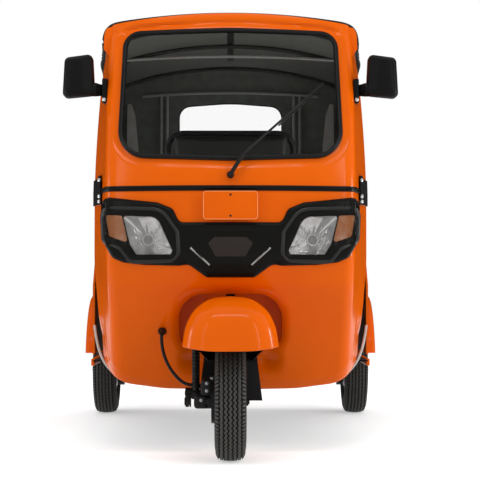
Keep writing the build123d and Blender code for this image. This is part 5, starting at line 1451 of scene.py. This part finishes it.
def hoodReach(start, way):
    low, high = np.zeros(len(way)), np.full(len(way), 1300.0)
    for _ in range(26):
        middle = (low + high) / 2
        inside = hoodOutside(*(start + way * middle[:, None]).T) < 0
        low, high = np.where(inside, middle, low), np.where(inside, high, middle)
    return start + way * low[:, None]


front, doorRear, spineEnd = canopy["front"], canopy["doorRear"], canopy["spineEnd"]
alongSide = np.concatenate([np.linspace(front, 400, 7)[:-1], np.linspace(400, doorRear, 46)[:-1],
    np.linspace(doorRear, spineEnd, 18)])
fan = np.radians(np.linspace(0, 180, 73))[1:-1]
spine = [(0, d) for d in alongSide] + [(0, spineEnd)] * len(fan) + [(0, d) for d in alongSide[::-1]]
ways = [(1, 0)] * len(alongSide) + [(cos(a), sin(a)) for a in fan] + [(-1, 0)] * len(alongSide)
spine, ways = np.array(spine, float), np.array(ways, float)
canopyHeights = np.concatenate([np.linspace(canopy["foot"], canopy["eave"], 25), [1549, 1561]])
hoodRows = []
for height in canopyHeights:
    start = np.column_stack([spine, np.full(len(spine), height)])
    hoodRows.append(hoodReach(start, np.column_stack([ways, np.zeros(len(ways))])))
pivotHeight = 1300
firstAngle = np.arctan2(1561 - pivotHeight, np.hypot(*(hoodRows[-1][:, :2] - spine).T))
for share in np.concatenate([np.linspace(0, 0.3, 15)[1:], np.linspace(0.3, 1, 24)[1:]]):
    angle = firstAngle + (pi / 2 - firstAngle) * share
    way = np.column_stack([ways * np.cos(angle)[:, None], np.sin(angle)])
    hoodRows.append(hoodReach(np.column_stack([spine, np.full(len(spine), pivotHeight)]), way))
hoodGrid = np.array(hoodRows)
x, d, z = hoodGrid[..., 0], hoodGrid[..., 1], hoodGrid[..., 2]
sagShare = np.zeros(d.shape)
for a, b in zip(canopy["bows"], canopy["bows"][1:]):
    between = (d > a) & (d < b)
    sagShare = np.where(between, np.sin(pi * (d - a) / (b - a)) ** 2, sagShare)
roofness = smoothStep(1600, 1680, z)
pull = sagShare * (canopy["roofSag"] * roofness + canopy["sideSag"] * (1 - roofness))
pull += 0.7 * (0.5 + 0.5 * np.sin(d / 31 + 2.2 * np.sin(x / 150 + z / 210))) * (0.3 + sagShare)
band = np.zeros(d.shape)
for bow in canopy["bows"]:
    band = np.maximum(band, 1 - smoothStep(canopy["bandHalf"] - 3, canopy["bandHalf"], np.abs(d - bow)))
pull -= 0.9 * band
inward = np.stack([-np.sign(x) * (1 - roofness), -(1 - roofness) * smoothStep(2150, 2330, d), -roofness], -1)
inward /= np.maximum(np.linalg.norm(inward, axis=-1, keepdims=True), 1e-6)
hoodGrid = hoodGrid + inward * pull[..., None]
index = np.arange(hoodGrid.shape[0] * hoodGrid.shape[1]).reshape(hoodGrid.shape[:2])
eaveRow = 24
behindDoor = np.where(spine[:-1, 1] >= doorRear - 1, True, False) & np.where(spine[1:, 1] >= doorRear - 1, True,
    False)
hoodFaces = []
for i in range(index.shape[0] - 1):
    for j in range(index.shape[1] - 1):
        if i >= eaveRow or behindDoor[j]:
            hoodFaces.append((index[i, j], index[i, j + 1], index[i + 1, j + 1], index[i + 1, j]))
usedRow = sorted({v for face in hoodFaces for v in face})
newIndex = {old: new for new, old in enumerate(usedRow)}
flatPoints = hoodGrid.reshape(-1, 3)[usedRow]
canopySheet = meshObject("canopySheet", placeAll(flatPoints),
    [[newIndex[v] for v in face] for face in hoodFaces], 60)
top = max(canopySheet.data.polygons, key=lambda p: p.center.z)
if top.normal.z < 0:
    canopySheet.data.flip_normals()
wall = canopySheet.modifiers.new("wall", "SOLIDIFY")
wall.thickness = canopy["thickness"] / 1000
wall.offset = -1
applyModifiers(canopySheet)
windowLine = [(-266, 1246), (266, 1246), (266, 1534), (0, 1554), (-266, 1534)]
windowOutline = roundedOutline(windowLine, [30, 30, 62, 900, 62], 10)
cut(canopySheet, prismTool(windowOutline, 2150, 2600), angle=60)
finishPiece(canopySheet, "body", canvas, ["canopy"])

hemLines = {"eaveLeft": hoodGrid[eaveRow, :len(alongSide)], "eaveRight": hoodGrid[eaveRow, -len(alongSide):],
    "front": np.vstack([hoodGrid[eaveRow:, 0], hoodGrid[eaveRow:, -1][::-1]])}
doorColumn = int(np.argmin(np.abs(alongSide - doorRear)))
hems = []
for sideColumn in (doorColumn, index.shape[1] - 1 - doorColumn):
    hems.append(pipe("doorHem", [tuple(p) for p in hoodGrid[:eaveRow + 1:3, sideColumn]], 3.2, 4))
inFront = alongSide <= doorRear + 1
for name, line in (("eaveLeft", hemLines["eaveLeft"][inFront]),
        ("eaveRight", hemLines["eaveRight"][inFront[::-1]])):
    hems.append(pipe(name, [tuple(p - [0, 0, 2]) for p in line[::2]], 5.2, 5))
hems.append(pipe("frontHem", [tuple(p + [0, 1, -2]) for p in hemLines["front"][::2]], 4.6, 5))
rim = []
for x0, z0 in dense(roundedOutline([(-264, 1248), (264, 1248), (264, 1532), (0, 1552), (-264, 1532)],
        [30, 30, 62, 900, 62], 8), 20):
    rim.append(tuple(hoodReach(np.array([[x0, 1500.0, z0]]), np.array([[0, 1.0, 0]]))[0]))
hems.append(pipe("windowWelt", rim, 4.0, 5, cyclic=True))
canopyHems = joined("canopyHems", hems, 50)
finishPiece(canopyHems, "body", canvas)


def stitch():
    return centredPiece("stitch", (6, [(0.4, -3.6), (0.9, -3.0), (1.0, 0), (0.9, 3.0), (0.4, 3.6)]), 80)


stitches = []
for bow in canopy["bows"]:
    for edge in (-canopy["bandHalf"] + 5, canopy["bandHalf"] - 5):
        columnsAt = int(np.argmin(np.abs(alongSide - (bow + edge)))) if bow + edge < spineEnd else None
        if columnsAt is None:
            continue
        half = hoodGrid[eaveRow:, columnsAt]
        shift = (bow + edge) - alongSide[columnsAt]
        line = np.vstack([half, (half * [-1, 1, 1])[::-1]]) + [0, shift, 0]
        lengths = np.concatenate([[0], np.cumsum(np.linalg.norm(np.diff(line, axis=0), axis=1))])
        for reach in np.arange(8, lengths[-1] - 8, 13):
            point = np.array([np.interp(reach, lengths, line[:, k]) for k in range(3)])
            after = np.array([np.interp(reach + 2, lengths, line[:, k]) for k in range(3)])
            direction = (after - point) / max(np.linalg.norm(after - point), 1e-6)
            outwards = np.array([direction[2], 0, -direction[0]])
            outwards *= 1 if outwards[2] + outwards[0] * np.sign(point[0]) > 0 else -1
            stitches.append((tuple(point + outwards * 1.0), tuple(direction)))
stitchPiece = repeated("canopyStitches", stitch(), stitches, canvas, angle=80)
finishPiece(stitchPiece, "body", canvas)
liningGrid = hoodGrid[::2, ::2]
towards = np.stack([liningGrid[..., 0] * 0, np.minimum(liningGrid[..., 1], spineEnd),
    np.full(liningGrid.shape[:2], 1300.0)], -1) - liningGrid
towards[..., 2] *= smoothStep(1537, 1600, liningGrid[..., 2])
towards /= np.maximum(np.linalg.norm(towards, axis=-1, keepdims=True), 1e-6)
skins = [liningGrid + towards * 4.2, liningGrid + towards * 5.0]
count = liningGrid.shape[0] * liningGrid.shape[1]
grid = np.arange(count).reshape(liningGrid.shape[:2])
eave, behind = eaveRow // 2, behindDoor[::2]
cells = [(i,
    j) for i in range(grid.shape[0] - 1) for j in range(grid.shape[1] - 1) if i >= eave or behind[min(j,
    len(behind) - 1)]]
liningFaces = [(grid[i, j], grid[i, j + 1], grid[i + 1, j + 1], grid[i + 1, j]) for i, j in cells]
used = sorted({v for face in liningFaces for v in face})
renumber = {old: new for new, old in enumerate(used)}
lining = meshObject("canopyLining", placeAll(skins[0].reshape(-1, 3)[used]),
    [[renumber[v] for v in face] for face in liningFaces], 60)
if max(lining.data.polygons, key=lambda p: p.center.z).normal.z < 0:
    lining.data.flip_normals()
wall = lining.modifiers.new("wall", "SOLIDIFY")
wall.thickness = 0.0008
wall.offset = -1
applyModifiers(lining)
cut(lining, prismTool(windowOutline, 2150, 2600), angle=60)
finishPiece(lining, "body", linerBoard)

# Hood frame: bows that follow the sheet, side rails, and the two flatter cross bars inside.
hoodBars = {"bows": ((413, 1500), (893, 1560), (1507, 906), (2143, 906)), "radius": 9, "under": 15,
    "rail": 1572, "tieDistances": (1486, 2268), "tieHeights": (1667, 1599), "tieHalves": (500, 448),
    "tieArch": 20}
bars = []
for distance, foot in hoodBars["bows"]:
    pivotRow = np.array([[0, distance, 1300.0]])
    lowSide = [hoodReach(np.array([[0, distance, h]]), np.array([[1.0, 0, 0]]))[0] for h in np.arange(foot,
        1500, 60)]
    arcAngles = np.linspace(atan2(1500 - 1300, 560), pi / 2, 16)
    overhead = [hoodReach(pivotRow, np.array([[cos(a), 0, sin(a)]]))[0] for a in arcAngles]
    half = np.array(lowSide + overhead)
    pullIn = np.array([0, distance, 1300.0]) - half
    pullIn[:, 2] *= smoothStep(1480, 1620, half[:, 2])
    pullIn /= np.linalg.norm(pullIn, axis=1, keepdims=True)
    half = half + pullIn * hoodBars["under"]
    whole = np.vstack([half, (half * [-1, 1, 1])[::-1][1:]])
    bars.append(pipe("hoodBow", [tuple(p) for p in whole], hoodBars["radius"], 6))
for side in (-1, 1):
    rail = []
    for distance in np.linspace(413, 2130, 16):
        point = hoodReach(np.array([[0, distance, hoodBars["rail"]]]), np.array([[1.0, 0, 0]]))[0]
        rail.append((side * (point[0] - 24), distance, hoodBars["rail"]))
    bars.append(pipe("hoodRail", rail, 10, 6))
finishPiece(joined("hoodFrame", bars), "body", innerPaint, ["hood_frame"])
# The cross bars and rear posts are light grey: a painted highlight on dark tubes.
ties = []
for distance, height, half in zip(hoodBars["tieDistances"], hoodBars["tieHeights"], hoodBars["tieHalves"]):
    ties.append(pipe("tie", [(x, distance,
        height - hoodBars["tieArch"] * (x / half) ** 2) for x in np.linspace(-half, half, 13)], 7, 6))
for side in (-1, 1):
    for across in (322, 352):
        ties.append(pipe("post", [(side * across, 2284, 1594), (side * across, 2290, 1300),
            (side * (across + 6), 2296, 940)], 7, 6))
finishPiece(joined("hoodCrossBars", ties), "body", highlightGreyPaint)

# Trim boards in the rear corners, and the painted panels that close the hood's front corners.
for side, sideName in ((-1, "Right"), (1, "Left")):
    board = [(side * x, z) for x, z in ((530, 960), (462, 960), (468, 1318), (484, 1480), (503, 1540),
        (524, 1540))]
    finishPiece(platePiece("cornerBoard" + sideName, roundedOutline(board, 8), 2250, 2254), "body", paleBoard)
    edge = []
    for height in np.linspace(1512, 1592, 12):
        edge.append((side * (hoodReach(np.array([[0, 285.0, height]]), np.array([[1.0, 0, 0]]))[0][0] - 3.5),
            float(height)))
    panel = [(side * 440, 1500), (side * 462, 1490)] + edge + [(side * 436, 1600)]
    finishPiece(platePiece("hoodCorner" + sideName, panel, 277, 281, 0.8), "body", paint)
print("stage: canopy seams", len(stitches), "stitches")


def inflate(obj, pressure, cap, frames=20):
    # Cloth under pressure, its travel capped, applied to the mesh.
    before = np.array([v.co[:] for v in obj.data.vertices])
    cloth = obj.modifiers.new("cloth", "CLOTH")
    cloth.settings.use_pressure = True
    cloth.settings.uniform_pressure_force = pressure
    cloth.settings.effector_weights.gravity = 0
    cloth.settings.quality = 4
    cloth.collision_settings.use_collision = False
    cloth.point_cache.frame_start, cloth.point_cache.frame_end = 1, frames
    for frameNumber in range(1, frames + 1):
        bpy.context.scene.frame_set(frameNumber)
    applyModifiers(obj)
    bpy.context.scene.frame_set(1)
    after = np.array([v.co[:] for v in obj.data.vertices])
    travel = after - before
    length = np.maximum(np.linalg.norm(travel, axis=1, keepdims=True), 1e-9)
    after = before + travel * np.minimum(1, cap / 1000 / length)
    obj.data.vertices.foreach_set("co", after.ravel())


def cushion(name, settings, material, node):
    # Crowned pad from a smaller block: inflated, held flat where it rests, its channels pressed in.
    (x0, x1), (d0, d1), (z0, z1) = settings["box"]
    less = settings["less"]
    size = (x1 - x0 - 2 * less, d1 - d0 - 2 * less, z1 - z0 - 2 * less)
    pad = loftBox(name, ((x0 + x1) / 2, (d0 + d1) / 2, (z0 + z1) / 2), size, settings["rounding"], 5)
    remesh = pad.modifiers.new("remesh", "REMESH")
    remesh.mode = "VOXEL"
    remesh.voxel_size = settings["voxel"] / 1000
    applyModifiers(pad)
    inflate(pad, settings["pressure"], settings["cap"])
    co = np.array([v.co[:] for v in pad.data.vertices]) * 1000
    co[:, 1] -= frontAxleY * 1000
    lows, highs = np.array([x0, d0, z0]), np.array([x1, d1, z1])
    share = (co - lows) / (highs - lows)
    face, sign = settings["crownAxis"], settings["crownSign"]
    across = [k for k in range(3) if k != face]
    dome = np.prod([np.clip(4 * share[:, k] * (1 - share[:, k]), 0, 1) ** 0.5 for k in across], axis=0)
    upper = smoothStep(0.5, 0.9, share[:, face] if sign > 0 else 1 - share[:, face])
    co[:, face] += sign * settings["crown"] * dome * upper
    for axis, place0, width, depth in settings["channels"]:
        away = np.abs(co[:, axis] - place0)
        edge = np.prod([smoothStep(0.03, 0.12, np.minimum(share[:, k], 1 - share[:, k])) for k in across],
            axis=0)
        co[:, face] -= sign * depth * np.exp(-((away / width) ** 2)) * upper * edge
    limitLow, limitHigh = lows - settings["over"], highs + settings["over"]
    limitLow[settings["restAxis"]] = lows[settings["restAxis"]] if settings["restSign"] < 0 else limitLow[settings["restAxis"]]
    limitHigh[settings["restAxis"]] = highs[settings["restAxis"]] if settings["restSign"] > 0 else limitHigh[settings["restAxis"]]
    rest = settings["restAxis"]
    if settings["restSign"] < 0:
        flatPart = share[:, rest] < 0.16
        co[flatPart, rest] = np.minimum(co[flatPart, rest], lows[rest])
    else:
        flatPart = share[:, rest] > 1 - 0.16
        co[flatPart, rest] = np.maximum(co[flatPart, rest], highs[rest])
    co = np.clip(co, limitLow, limitHigh)
    if "lean" in settings:
        bottom, run = settings["lean"]
        co[:, 1] += np.clip((co[:, 2] - bottom) / (z1 - bottom), 0, 1.05) * run
    pad.data.vertices.foreach_set("co", np.array(placeAll(co)).ravel())
    subdivide = pad.modifiers.new("smooth", "SUBSURF")
    subdivide.levels = settings["levels"]
    if settings["levels"]:
        applyModifiers(pad)
    else:
        pad.modifiers.clear()
    smoothShade(pad, 70)
    finishPiece(pad, "body", material, [node])
    return pad


cushions = {"driverCushionPad": ({"box": ((-244, 244), (746, 1150), (566.3, 650)), "less": 9, "rounding": 24,
    "voxel": 6, "pressure": 4, "cap": 12, "crown": 7, "crownAxis": 2, "crownSign": 1, "restAxis": 2,
    "restSign": -1, "over": 5, "channels": ((0, -122, 6, 4), (0, 0, 6, 4), (0, 122, 6, 4)), "fill": 0.7,
    "levels": 1}, "driver_cushion"), "driverBackPad": ({"box": ((-262, 262), (1172, 1223.7), (690, 1288)),
    "less": 6, "rounding": 17, "voxel": 6, "pressure": 4, "cap": 10, "crown": 7, "crownAxis": 1,
    "crownSign": -1, "restAxis": 1, "restSign": 1, "over": 4,
    "channels": ((2, 840, 6, 4), (2, 990, 6, 4), (2, 1140, 6, 4)), "fill": 0.7, "levels": 1},
    "driver_backrest"), "passengerCushionPad": ({"box": ((-566, 566), (1628, 2112), (600.3, 704)), "less": 11,
    "rounding": 28, "voxel": 9, "pressure": 4, "cap": 14, "crown": 9, "crownAxis": 2, "crownSign": 1,
    "restAxis": 2, "restSign": -1, "over": 5, "channels": ((0, -378, 7, 5), (0, -189, 7, 5), (0, 0, 7, 5),
    (0, 189, 7, 5), (0, 378, 7, 5)), "fill": 0.7, "levels": 1}, "passenger_cushion"),
    "passengerBackPad": ({"box": ((-552, 552), (2114, 2198), (601, 1150)), "less": 11, "rounding": 26,
    "voxel": 9, "pressure": 4, "cap": 13, "crown": 7, "crownAxis": 1, "crownSign": -1, "restAxis": 1,
    "restSign": 1, "over": 4, "channels": ((0, -368, 7, 5), (0, -184, 7, 5), (0, 0, 7, 5), (0, 184, 7, 5),
    (0, 368, 7, 5)), "lean": (601, 60), "fill": 0.7, "levels": 1}, "passenger_backrest"),}
for name, (settings, node) in cushions.items():
    pad = cushion(name, settings, vinyl, node)
    print("stage:", name, len(pad.data.polygons), "faces")
